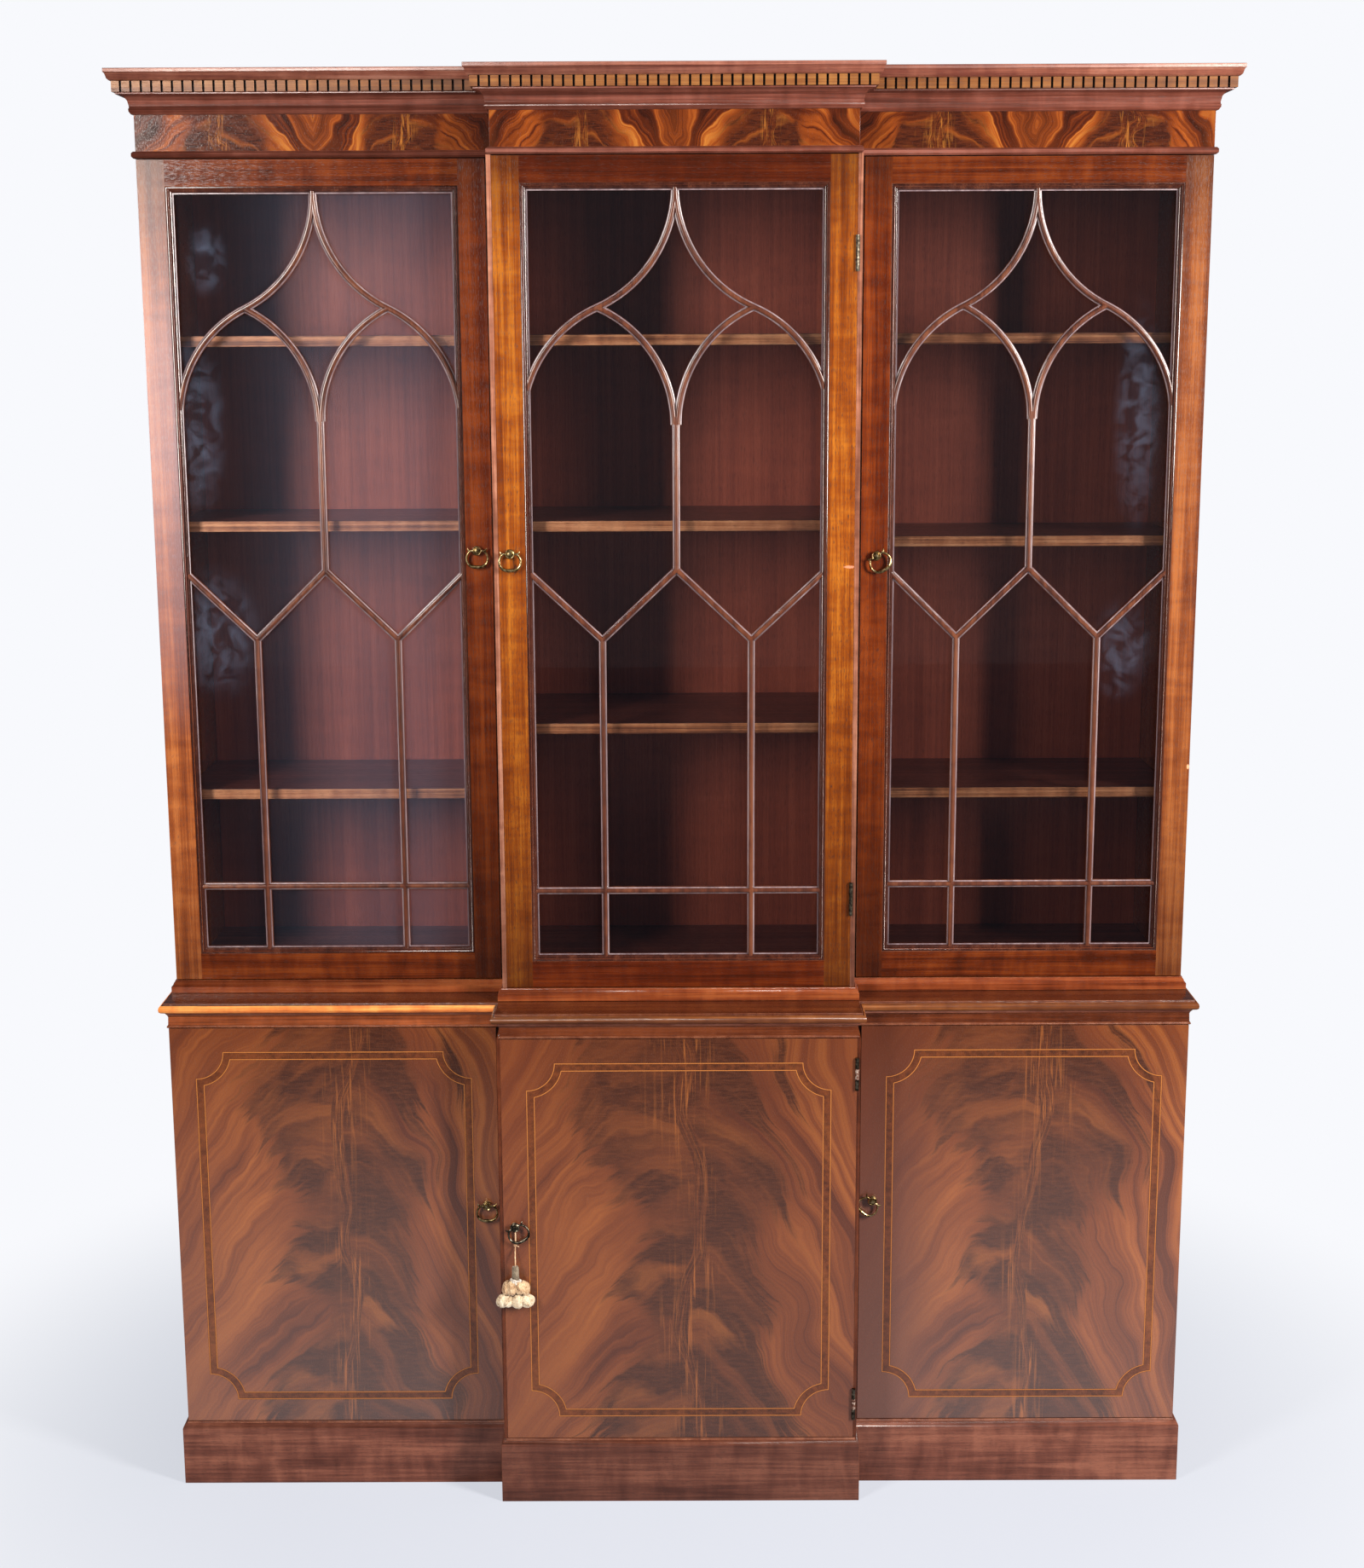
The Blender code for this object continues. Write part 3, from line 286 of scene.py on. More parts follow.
def mahoganyLook(wood):
    # Straight-grained mahogany, French polished: ribbons, soft cross mottle, fine lines and short dark pores
    wood = {**plainGrain, **wood}
    look, tree, place = newLook(wood["name"])
    along, seed = wood["along"], wood["seed"]
    ribbon = stretched(tree, place, along, wood["ribbonLong"], wood["ribbon"], seed, 3, 0.3)
    mottle = stretched(tree, place, along, wood["mottleLong"], wood["mottleWide"], seed + 5, 3, 0.3)
    lines = stretched(tree, place, along, wood["lineLong"], wood["line"], seed + 3, 4)
    figure = add(tree, "ShaderNodeMix", {0: wood["lines"], 2: ribbon, 3: lines})
    figure = add(tree, "ShaderNodeMix", {0: wood["mottle"], 2: figure, 3: mottle})
    colour = add(tree, "ShaderNodeValToRGB", {0: figure}, stops=list(zip(wood["spread"], wood["tones"])))
    ticks = stretched(tree, place, along, wood["poreLong"], wood["pore"], seed + 7, 2)
    pores = add(tree, "ShaderNodeValToRGB", {0: ticks}, stops=list(zip(wood["poreRange"], (0.0, 1.0))))
    shade = add(tree, "ShaderNodeMath", {0: pores, 1: wood["poreDepth"]}, operation="MULTIPLY")
    colour = add(tree, "ShaderNodeMix", {0: shade, 6: colour, 7: wood["poreTone"]}, out=2, data_type="RGBA")
    if wood["run"]:
        # Painted shade and painted glare in stretches, by the share of the way up the upper doors
        tall = add(tree, "ShaderNodeSeparateXYZ", {0: place}).node.outputs["Z"]
        tall = add(tree, "ShaderNodeMapRange", {0: tall, 1: wood["doors"][0], 2: wood["doors"][1]})
        for tone, stops in wood["run"]:
            share = add(tree, "ShaderNodeValToRGB", {0: tall}, stops=stops)
            colour = add(tree, "ShaderNodeMix", {0: share, 6: colour, 7: tone}, out=2, data_type="RGBA")
    if wood["marks"]:
        colour = marked(tree, colour, place, wood["marks"])
    return close(look, polished(tree, colour, pores, wood["rough"], wood["coat"], wood["bump"]))


print("stage: frame loaded,", len(nodes), "solids")

# Camera, fitted to the straight edges in the photograph
view = {"place": (0.0119, -3.3549, 1.7515), "pitch": 11.219, "yaw": -0.094, "roll": -0.239, "lens": 51.15,
        "sensor": 36, "reach": 100}
pitch, yaw, roll = [math.radians(view[word]) for word in ("pitch", "yaw", "roll")]
ahead = Vector((math.sin(yaw) * math.cos(pitch), math.cos(yaw) * math.cos(pitch), -math.sin(pitch)))
level = Vector((math.cos(yaw), -math.sin(yaw), 0))
above = level.cross(ahead)
rightward = math.cos(roll) * level + math.sin(roll) * above
upward = -math.sin(roll) * level + math.cos(roll) * above
deselectAll()
bpy.ops.object.camera_add()
camera = named("studio_camera")
camera.data.lens = view["lens"]
camera.data.sensor_width = view["sensor"]
camera.data.clip_end = view["reach"]
turned = Matrix((rightward, upward, -ahead)).transposed().to_4x4()
camera.matrix_world = Matrix.Translation(view["place"]) @ turned
bpy.context.scene.camera = camera
print("stage: camera")


# Cotton thread: sizes in millimetres, the weave's as multiples of how coarse the thread is
thread = {"weaveLong": 2.5, "stain": (11, 9), "spread": (0.36, 0.48, 0.62), "bump": 0.5, "relief": 0.0004,
          "rough": 0.9, "sheen": 0.25}


def cottonLook(name, tones, coarse):
    # Cotton thread, soft and dull, darker and warmer in patches
    look, tree, place = newLook(name)
    weave = stretched(tree, place, "Z", thread["weaveLong"] * coarse, coarse, 2.0, 3)
    stain = stretched(tree, place, "Z", *thread["stain"], 4.0, 2)
    blend = add(tree, "ShaderNodeMix", {0: 0.5, 2: weave, 3: stain})
    colour = add(tree, "ShaderNodeValToRGB", {0: blend}, stops=list(zip(thread["spread"], tones)))
    normal = add(tree, "ShaderNodeBump", {"Strength": thread["bump"], "Distance": thread["relief"],
                                          "Height": weave})
    return close(look, add(tree, "ShaderNodeBsdfPrincipled", {
        "Base Color": colour, "Roughness": thread["rough"], "Sheen Weight": thread["sheen"],
        "Normal": normal}))


# Tassel: the cord first, then what hangs on it. The cord is seen from end to end, so its length is real
tassel = {"hang": (-0.2473, -0.1969, 0.4467), "loop": 0.0044, "cord": 0.0010, "clear": 0.0285, "drop": 0.0590,
          "out": 0.0091, "inside": 0.030, "points": 60, "turns": 14, "sway": 0.0004, "swayTurn": 11,
          "lobes": 3, "spokes": 12, "laid": 0.92, "lobe": 0.10, "loopSteps": (40, 12), "smooth": 60,
          "ballSmooth": 70, "coarse": 0.8,
          "tones": ("#8a5f40", "#c09670", "#e2c8a4"), "tierCoarse": 1.4}
# Seeds of the random draws, one run of numbers for each kind of piece
seeds = {"tier": 40, "tierBall": 20, "ruff": 200, "ruffBall": 300, "knot": 400, "strand": 500}
tiers = [{"name": "upper", "drop": 0.0345, "wide": 0.0150, "deep": 0.0040, "ball": 0.0076, "tall": 1.62,
          "lean": 0.30, "count": 8, "turn": 22, "look": "gathered_tan_cotton",
          "tones": ("#6b4a30", "#b08c66", "#d6bd98")},
         {"name": "lower", "drop": 0.0555, "wide": 0.0212, "deep": 0.0026, "ball": 0.0093, "tall": 1.30,
          "lean": 0.62, "count": 8, "turn": 8, "look": "gathered_cream_cotton",
          "tones": ("#7a5c42", "#bda787", "#dccfb8")}]
hang = Vector(tassel["hang"])
route = []
for step in range(tassel["points"]):
    # Down behind the bail, out to the tassel's neck and on through the tassel
    along = step / (tassel["points"] - 1)
    fall = tassel["loop"] + (tassel["drop"] + tassel["inside"] - tassel["loop"]) * along
    part = min(1.0, max(0.0, (fall - tassel["clear"]) / (tassel["drop"] - tassel["clear"])))
    route.append(hang + Vector((tassel["sway"] * math.sin(tassel["swayTurn"] * along),
                                -tassel["out"] * (1 - math.cos(math.pi * part)) / 2, -fall)))
deselectAll()
bpy.ops.mesh.primitive_torus_add(major_segments=tassel["loopSteps"][0],
                                 minor_segments=tassel["loopSteps"][1], major_radius=tassel["loop"],
                                 minor_radius=tassel["cord"], location=hang,
                                 rotation=(math.radians(90), 0, 0))
loop = settle(named("tassel_loop"))
tidyShell(loop, tassel["smooth"])
laidRings = []
for step, point in enumerate(route):
    # A laid cord: three lobes round the centre line, turning as they run down
    run = (route[min(step + 1, len(route) - 1)] - route[max(step - 1, 0)]).normalized()
    one = run.cross(Vector((0, 1, 0.2))).normalized()
    other = run.cross(one)
    ring = []
    for spoke in range(tassel["spokes"]):
        angle = 2 * math.pi * spoke / tassel["spokes"]
        lay = tassel["lobes"] * (angle - 2 * math.pi * tassel["turns"] * step / len(route))
        reach = tassel["cord"] * (tassel["laid"] + tassel["lobe"] * math.cos(lay))
        ring.append(point + reach * (math.cos(angle) * one + math.sin(angle) * other))
    laidRings.append(ring)
hungCord = tidyShell(shell("tassel_cord", laidRings), tassel["smooth"])


# Gathered cotton: how deep pleats and fine creases are, as shares of the ball, and how it leans at most
gather = {"segments": 28, "rings": 16, "pleats": [4, 5, 6], "pleat": 0.085, "twist": 2.5, "crease": 0.03,
          "creases": 11, "low": 0.97, "wave": 0.05, "waves": 3, "tilt": 0.15}


def ball(name, radius, place, squeeze, seed, lean=0.0):
    # One gathered lobe of soft cotton, pleated from top to foot
    deselectAll()
    bpy.ops.mesh.primitive_uv_sphere_add(segments=gather["segments"], ring_count=gather["rings"],
                                         radius=radius,
                                         location=(0, 0, 0))
    made = named(name)
    draw = random.Random(seed)
    phase = draw.uniform(0, 6)
    pleats = draw.choice(gather["pleats"])
    for corner in made.data.vertices:
        spot = corner.co
        turn = math.atan2(spot.y, spot.x)
        flat = math.hypot(spot.x, spot.y) / radius
        wound = pleats * turn + phase + gather["twist"] * spot.z / radius
        fold = 1 + gather["pleat"] * math.cos(wound) * flat
        fold += gather["crease"] * math.cos(gather["creases"] * turn + phase) * flat
        rise = gather["low"] + gather["wave"] * math.sin(gather["waves"] * turn + phase)
        corner.co = Vector((spot.x * fold, spot.y * fold, spot.z * rise))
    made.scale = squeeze
    made.rotation_euler = (0, lean + draw.uniform(-gather["tilt"], gather["tilt"]), 0)
    made.location = place
    return settle(made)


# How unevenly the balls of a tier lie and swell, as shares, and how far up and down in metres
scatter = {"ring": (0.92, 1.0), "level": 0.0014, "size": (0.88, 1.06), "tall": (0.88, 1.0), "flat": 0.84}
tierBalls = []
for rank, tier in enumerate(tiers):
    balls = []
    middle = hang + Vector((0, -tassel["out"], -tassel["drop"] - tier["drop"]))
    for number in range(tier["count"]):
        angle = 2 * math.pi * number / tier["count"] + math.radians(tier["turn"])
        draw = random.Random(seeds["tier"] * rank + number)
        spot = middle + Vector((tier["wide"] * math.cos(angle) * draw.uniform(*scatter["ring"]),
                                tier["deep"] * math.sin(angle),
                                draw.uniform(-scatter["level"], scatter["level"])))
        size = tier["ball"] * draw.uniform(*scatter["size"])
        squeeze = (1.0, scatter["flat"], tier["tall"] * draw.uniform(*scatter["tall"]))
        balls.append(ball("ball", size, spot, squeeze, seeds["tierBall"] * rank + number,
                          -tier["lean"] * math.cos(angle)))
    tierBalls.append(tidyShell(joined("tassel_tier_" + tier["name"], balls), tassel["ballSmooth"]))

# Neck, wound with thread: every other ring stands out
winding = {"height": 0.0225, "rings": 46, "bind": 0.035, "squash": 0.92, "steps": 28, "smooth": 45,
           "slack": 1e-9, "coarse": 0.6,
           "profile": [(0.0030, 0.0), (0.0044, -0.0006), (0.0050, -0.004), (0.0051, -0.010), (0.0054, -0.016),
                       (0.0060, -0.0225)], "tones": ("#33271c", "#665744", "#8f806a")}
neckRings = []
for number in range(winding["rings"]):
    depth = winding["height"] * number / (winding["rings"] - 1)
    for (wide, high), (nextWide, nextHigh) in zip(winding["profile"], winding["profile"][1:]):
        if -high <= depth <= winding["slack"] - nextHigh:
            width = wide + (nextWide - wide) * (depth + high) / (high - nextHigh)
            break
    neckRings.append((width * (1 + winding["bind"] * (number % 2)), -depth))
neck = lathe("tassel_neck", neckRings, winding["steps"], winding["squash"], winding["smooth"])
neck.location = hang + Vector((0, -tassel["out"], -tassel["drop"]))
settle(neck)

# Ruff of looped thread under the neck, wider toward its foot
ruff = {"count": 34, "wide": 0.0088, "deep": 0.0062, "top": 0.0205, "height": 0.0085, "small": 0.0016,
        "large": 0.0024, "taper": 0.7, "squeeze": (1, 0.9, 1.1), "coarse": 0.8,
        "tones": ("#7d6f60", "#c2b6a8", "#ddd5ca")}
ruffBalls = []
for number in range(ruff["count"]):
    draw = random.Random(seeds["ruff"] + number)
    angle = draw.uniform(0, 2 * math.pi)
    low = draw.uniform(0, 1)
    spot = hang + Vector((ruff["wide"] * math.cos(angle) * (ruff["taper"] + (1 - ruff["taper"]) * low),
                          -tassel["out"] - ruff["deep"] * abs(math.sin(angle)),
                          -tassel["drop"] - ruff["top"] - ruff["height"] * low))
    ruffBalls.append(ball("ruff", draw.uniform(ruff["small"], ruff["large"]), spot, ruff["squeeze"],
                          seeds["ruffBall"] + number))
ruffed = tidyShell(joined("tassel_ruff", ruffBalls), tassel["ballSmooth"])

# Knot at the foot of the loop, with the frayed end beside it
tie = {"radius": 0.0021, "squeeze": (1.1, 0.8, 1.2), "out": 0.0004, "under": 0.0008, "strands": 5,
       "strand": 0.006, "thick": 0.00035, "thin": 0.00012, "sides": 6, "nod": 0.3, "turn": 115, "fan": 25,
       "beside": (0.0032, -0.0008, -0.0008)}
knotSpot = hang + Vector((0, -tie["out"], -tassel["clear"] - tie["under"]))
knotParts = [ball("knot", tie["radius"], knotSpot, tie["squeeze"], seeds["knot"])]
for number in range(tie["strands"]):
    draw = random.Random(seeds["strand"] + number)
    deselectAll()
    bpy.ops.mesh.primitive_cone_add(vertices=tie["sides"], radius1=tie["thick"], radius2=tie["thin"],
                                    depth=tie["strand"])
    strand = named("strand")
    strand.rotation_euler = (draw.uniform(-tie["nod"], tie["nod"]),
                             math.radians(tie["turn"] + draw.uniform(-tie["fan"], tie["fan"])), 0)
    strand.location = knotSpot + Vector(tie["beside"])
    knotParts.append(settle(strand))
knot = tidyShell(joined("tassel_knot", knotParts), tassel["smooth"])
cordCotton = cottonLook("twisted_cotton_cord", tassel["tones"], tassel["coarse"])
fit(hungCord, "tassel", cordCotton, ["tassel"])
fit(loop, "tassel", cordCotton)
fit(knot, "tassel", cordCotton)
for balls, tier in zip(tierBalls, tiers):
    fit(balls, "tassel", cottonLook(tier["look"], tier["tones"], tassel["tierCoarse"]))
fit(neck, "tassel", cottonLook("wrapped_thread", winding["tones"], winding["coarse"]))
fit(ruffed, "tassel", cottonLook("white_looped_thread", ruff["tones"], ruff["coarse"]))

# Floor, world and lamps. The eye and the glass see a white surround; the lamps see a matt floor
studio = {"half": 9.0, "floorNear": "#dbdfe9", "floorFar": "#f8f9fd", "floorMirrored": "#74777d",
          "near": 0.6, "far": 1.6, "lift": 0.74, "sky": "#f8f9fd", "fill": 0.17, "mirrored": 0.10,
          "fillTone": "#e9eef8", "under": (0.74, 0.13), "lampTone": "#fffaf4", "lampSpread": 115}


def floorLook():
    # Painted studio floor: pale and matt, paler with distance, with the eye's view of it lifted
    look, tree, place = newLook("painted_studio_floor")
    away = add(tree, "ShaderNodeVectorMath", {0: place}, out="Value", operation="LENGTH")
    share = add(tree, "ShaderNodeMapRange", {0: away, 1: studio["near"], 2: studio["far"]},
                interpolation_type="SMOOTHSTEP")
    colour = add(tree, "ShaderNodeMix", {0: share, 6: studio["floorNear"], 7: studio["floorFar"]}, out=2,
                 data_type="RGBA")
    rays = add(tree, "ShaderNodeLightPath", out="Is Camera Ray")
    seen = add(tree, "ShaderNodeMath", {0: rays, 1: rays.node.outputs["Is Transmission Ray"]},
               operation="MAXIMUM")
    lifted = add(tree, "ShaderNodeMapRange", {0: share, 3: studio["lift"], 4: 1.0})
    much = add(tree, "ShaderNodeMath", {0: seen, 1: lifted}, operation="MULTIPLY")
    # The floor under the case, inside the plinth, keeps its own shade
    spot = add(tree, "ShaderNodeSeparateXYZ", {0: place}).node.outputs
    for axis, reach in zip("XY", studio["under"]):
        off = add(tree, "ShaderNodeMath", {0: spot[axis]}, operation="ABSOLUTE")
        off = add(tree, "ShaderNodeMath", {0: off, 1: reach}, operation="GREATER_THAN")
        outside = off if axis == "X" else add(tree, "ShaderNodeMath", {0: outside, 1: off},
                                              operation="MAXIMUM")
    much = add(tree, "ShaderNodeMath", {0: much, 1: outside}, operation="MULTIPLY")
    mirrored = add(tree, "ShaderNodeMix", {0: rays.node.outputs["Is Glossy Ray"], 6: colour,
                                           7: studio["floorMirrored"]}, out=2, data_type="RGBA")
    lit = add(tree, "ShaderNodeBsdfDiffuse", {"Color": mirrored})
    lift = add(tree, "ShaderNodeEmission", {"Color": colour, "Strength": 1.0})
    return close(look, add(tree, "ShaderNodeMixShader", {0: much, 1: lit, 2: lift}))


deselectAll()
bpy.ops.mesh.primitive_plane_add(size=2 * studio["half"], location=(0, 0, 0))
floor = named("studio_floor")
floor.data.materials.append(floorLook())
world = bpy.data.worlds.new("studio_world")
bpy.context.scene.world = world
world.use_nodes = True
sky = world.node_tree
sky.nodes.clear()
worldRays = add(sky, "ShaderNodeLightPath", out="Is Camera Ray")
whiteFor = add(sky, "ShaderNodeMath", {0: worldRays, 1: worldRays.node.outputs["Is Transmission Ray"]},
               operation="MAXIMUM")
dim = add(sky, "ShaderNodeMapRange", {0: worldRays.node.outputs["Is Glossy Ray"], 3: studio["fill"],
                                      4: studio["mirrored"]})
plain = add(sky, "ShaderNodeBackground", {"Color": studio["fillTone"], "Strength": dim})
bright = add(sky, "ShaderNodeBackground", {"Color": studio["sky"], "Strength": 1.0})
seenSky = add(sky, "ShaderNodeMixShader", {0: whiteFor, 1: plain, 2: bright})
add(sky, "ShaderNodeOutputWorld", {"Surface": seenSky})

lamps = {"key": {"place": (-1.66, -2.07, 2.15), "aim": (0.1, 0.0, 1.30), "size": (0.58, 1.5), "power": 38},
         "fill": {"place": (2.66, -2.07, 2.15), "aim": (0.0, 0.0, 1.25), "size": (0.6, 1.5), "power": 104}}
for name, lamp in lamps.items():
    deselectAll()
    bpy.ops.object.light_add(type="AREA", location=lamp["place"])
    made = named(name + "_softbox")
    made.data.shape = "RECTANGLE"
    made.data.size, made.data.size_y = lamp["size"]
    made.data.energy = lamp["power"]
    made.data.spread = math.radians(studio["lampSpread"])
    made.data.color = toLinear(studio["lampTone"])[:3]
    aim = Vector(lamp["aim"]) - Vector(lamp["place"])
    made.rotation_euler = aim.to_track_quat("-Z", "Y").to_euler()
print("stage: floor, world and lamps")

# Plain woods of the case, each with the tone it has in the photograph; stiles have painted shade at foot and
# head, and the left outer stile a painted glare halfway up
runs = {"stile": [(0.0, 0.72), (0.11, 0.54), (0.22, 0.37), (0.33, 0.24), (0.44, 0.16), (0.55, 0.0),
                  (0.90, 0.08), (1.0, 0.62)],
        "outer": [(0.0, 0.55), (0.11, 0.40), (0.22, 0.15), (0.44, 0.0), (0.88, 0.10), (1.0, 0.62)],
        "shaded": [(0.0, 0.45), (0.11, 0.25), (0.22, 0.08), (0.33, 0.0), (0.86, 0.1), (1.0, 0.75)],
        "glare": [(0.30, 0.0), (0.44, 0.15), (0.66, 0.28), (0.78, 0.24), (0.88, 0.10), (1.0, 0.0)]}
scratch = {"spot": (-0.2335, 1.4300), "size": (0.0030, 0.0075), "deep": 0.75, "tone": "#35160b"}
rub = {"spot": (0.2500, 1.4310), "size": (0.0080, 0.0022), "deep": 0.7, "tone": "#d08a6e"}
nick = {"spot": (0.7640, 1.1250), "size": (0.0020, 0.0040), "deep": 0.8, "tone": "#d9a27a"}
woods = {
    # Bright orange stiles of the middle door, with painted shade at foot and head, a scratch under the key
    # and a rub beside the right door
    "centreStile": {"name": "mahogany_middle_door_stile", "along": "Z", "seed": 1.0, "poreDepth": 0.8,
                    "mottle": 0.24, "run": [("#2c1205", runs["stile"])],
                    "tones": ("#5e2705", "#7f3d0b", "#a05c18"), "marks": [scratch, rub]},
    # Darker red-brown inner stiles of the wing doors, with painted shade at foot and head
    "wingStile": {"name": "mahogany_wing_door_stile", "along": "Z", "seed": 2.0, "poreDepth": 0.7,
                  "mottle": 0.3, "run": [("#240d04", runs["stile"])],
                  "tones": ("#511b05", "#6f2c08", "#883e14")},
    # Right door's outer stile, paler with a painted sheen and with painted shade at foot and head, with the
    # nick on its edge
    "sheenOuterStile": {"name": "mahogany_right_outer_stile_painted_sheen", "along": "Z", "seed": 2.5, "poreDepth": 0.5,
                   "rough": 0.26, "coat": 0.5, "run": [("#2c1205", runs["outer"])],
                   "tones": ("#56260e", "#743a17", "#905227"), "marks": [nick]},
    # Left door's outer stile, with painted shade at foot and head and a painted pinkish-white glare halfway
    # up
    "glareOuterStile": {"name": "mahogany_left_outer_stile_painted_glare", "along": "Z", "seed": 2.5, "poreDepth": 0.5,
                      "rough": 0.26, "coat": 0.5,
                      "run": [("#2c1205", runs["shaded"]), ("#b8a8b4", runs["glare"])],
                      "tones": ("#622b10", "#84421a", "#a25d2d")},
    # Rails of the wing doors
    "rail": {"name": "mahogany_wing_door_rail", "along": "X", "seed": 3.0, "poreDepth": 0.5, "mottle": 0.3,
             "rough": 0.16, "coat": 0.15, "tones": ("#371204", "#511e07", "#692f0f")},
    # Rails of the middle door, the darkest of them
    "centreRail": {"name": "mahogany_middle_door_rail", "along": "X", "seed": 13.0, "poreDepth": 0.35,
                   "rough": 0.16, "coat": 0.15, "run": [("#180702", [(0.5, 0.0), (0.9, 0.2)])],
                   "tones": ("#351003", "#471705", "#5c2409")},
    # Outside of the case sides and the panels between the bays
    "side": {"name": "mahogany_case_side", "along": "Z", "seed": 4.0,
             "tones": ("#552009", "#743414", "#904a24")},
    # Dark mouldings of the cornice
    "moulding": {"name": "mahogany_cornice_moulding", "along": "X", "seed": 5.0, "poreDepth": 0.3,
                 "rough": 0.32, "coat": 0.1, "tones": ("#472016", "#5e2f23", "#784538")},
    # Crown of the cornice, paler where it catches the light
    "crown": {"name": "mahogany_cornice_crown", "along": "X", "seed": 18.0, "poreDepth": 0.3, "rough": 0.32,
              "coat": 0.1, "tones": ("#603127", "#7f4b3b", "#9b6857")},
    # Fronts of the panels between the bays, seen as strips beside the middle door: pinkish-brown as a painted
    # sheen, with painted shade toward the foot
    "bayEdgeSheen": {"name": "mahogany_bay_panel_painted_sheen", "along": "Z", "seed": 19.0, "poreDepth": 0.3,
                "run": [("#2a1410", [(0.0, 0.52), (0.11, 0.50), (0.33, 0.32), (0.55, 0.10), (0.8, 0.0)])],
                "tones": ("#643a2b", "#905b46", "#ba8168")},
    # Moulding under the upper doors
    "base": {"name": "mahogany_base_moulding", "along": "X", "seed": 20.0, "poreDepth": 0.3,
             "tones": ("#491b09", "#6b2f15", "#844422")},
    # Polished ledge under the upper case
    "ledge": {"name": "mahogany_ledge", "along": "X", "seed": 6.0, "poreDepth": 0.25, "coat": 0.45,
              "tones": ("#2e0d04", "#411808", "#54270e")},
    # Moulding under the ledge's edge
    "torus": {"name": "mahogany_waist_moulding", "along": "X", "seed": 16.0, "poreDepth": 0.25, "rough": 0.36,
              "coat": 0.0, "tones": ("#4d240d", "#683715", "#824d24")},
    # Dark fascia between the waist moulding and the cupboard doors
    "fascia": {"name": "mahogany_waist_fascia", "along": "X", "seed": 22.0, "poreDepth": 0.25,
               "tones": ("#341407", "#4c210e", "#612f17")},
    # Waist moulding of the left wing, painted bright golden as lit
    "leftTorusLit": {"name": "mahogany_left_waist_moulding_painted_light", "along": "X", "seed": 16.0, "poreDepth": 0.25,
                  "rough": 0.36, "coat": 0.0, "tones": ("#b85f2f", "#f08942", "#ffba63")},
    # Fascia of the left wing, painted paler as lit
    "leftFasciaLit": {"name": "mahogany_left_fascia_painted_light", "along": "X", "seed": 23.0, "poreDepth": 0.25,
                   "tones": ("#552712", "#793c1e", "#98502c")},
    # Edges between and beside the cupboard doors, painted dark as the shade in the gaps
    "cupboardEdgeShade": {"name": "mahogany_cupboard_edge", "along": "Z", "seed": 25.0, "poreDepth": 0.25,
                     "tones": ("#341407", "#4c210e", "#612f17")},
    # Plinth, duller and browner
    "plinth": {"name": "mahogany_plinth", "along": "X", "seed": 7.0, "rough": 0.33, "poreDepth": 0.35,
               "ribbon": 30, "line": 3.5, "mottle": 0.25, "tones": ("#401d13", "#562d20", "#6e402f")},
    # Plinth of the wings, a little paler
    "wingPlinth": {"name": "mahogany_wing_plinth", "along": "X", "seed": 24.0, "rough": 0.33,
                   "poreDepth": 0.35, "ribbon": 30, "line": 3.5, "mottle": 0.25,
                   "tones": ("#4b2419", "#653729", "#814d3a")},
    # Inside of the case: fine straight grain, hardly polished
    "inside": {"name": "mahogany_inside", "along": "Z", "seed": 8.0, "ribbon": 8, "line": 1.3, "rough": 0.5,
               "coat": 0.0, "poreDepth": 0.3, "tones": ("#943a20", "#a24326", "#b04e30")},
    # Redder, paler board of the back, painted paler still as light from the right
    "paleBoardLit": {"name": "mahogany_pale_back_board_painted_light", "along": "Z", "seed": 21.0, "ribbon": 14, "line": 1.3,
                  "rough": 0.5, "coat": 0.0, "poreDepth": 0.3, "tones": ("#bf5231", "#ea794a", "#ffa06e")},
    # Tops and undersides of the shelves
    "shelf": {"name": "mahogany_shelf", "along": "X", "seed": 9.0, "rough": 0.35, "coat": 0.15,
              "tones": ("#4a1c12", "#642c1e", "#7f4030")},
    # Front edges of the shelves, painted pale as lit
    "shelfEdgeLit": {"name": "shelf_edge_painted_light", "along": "X", "seed": 10.0, "line": 0.9, "ribbon": 5,
                  "rough": 0.42, "coat": 0.1, "poreDepth": 0.35, "tones": ("#7d3e1e", "#be6e41", "#ea9a68")},
    # Glazing bars
    "bar": {"name": "mahogany_glazing_bar", "along": "Z", "seed": 11.0, "bump": 0.02, "rough": 0.3,
            "coat": 0.5, "poreDepth": 0.2, "tones": ("#33150b", "#4d2414", "#653822")},
    # Narrow fillets on either side of the bead, painted grey as the sheen of the light along them
    "fillet": {"name": "mahogany_bar_fillet_painted_sheen", "along": "Z", "seed": 31.0, "bump": 0.02, "rough": 0.34,
               "coat": 0.3, "poreDepth": 0.1, "tones": ("#5c4b4f", "#726064", "#89787b")},
    # Moulding round the glass, dark with bright beads
    "sight": {"name": "mahogany_sight_moulding", "along": "Z", "seed": 12.0, "bump": 0.02, "rough": 0.16,
              "coat": 1.0, "poreDepth": 0.15, "tones": ("#260d07", "#38170d", "#4b2618")},
    # Rubbed arrises, paler where the polish has worn through, and painted paler still as a highlight along
    # the edge
    "arris": {"name": "worn_and_highlit_mahogany_arris", "along": "Z", "seed": 15.0, "poreDepth": 0.2, "rough": 0.5,
              "coat": 0.0, "tones": ("#52230f", "#703b20", "#8c5438")},
    # Golden satinwood-coloured teeth of the dentil course
    "dentil": {"name": "golden_dentil_wood", "along": "X", "seed": 14.0, "poreDepth": 0.3, "coat": 0.0,
               "rough": 0.4, "tones": ("#562d0c", "#714118", "#885828")},
    # Painted shade behind and between the teeth
    "dentilShade": {"name": "dark_dentil_ground", "along": "X", "seed": 17.0, "coat": 0.0, "rough": 0.6,
                  "tones": ("#180b06", "#24110a", "#331a10")},
}
looks = {word: mahoganyLook(wood) for word, wood in woods.items()}
print("stage: plain woods")


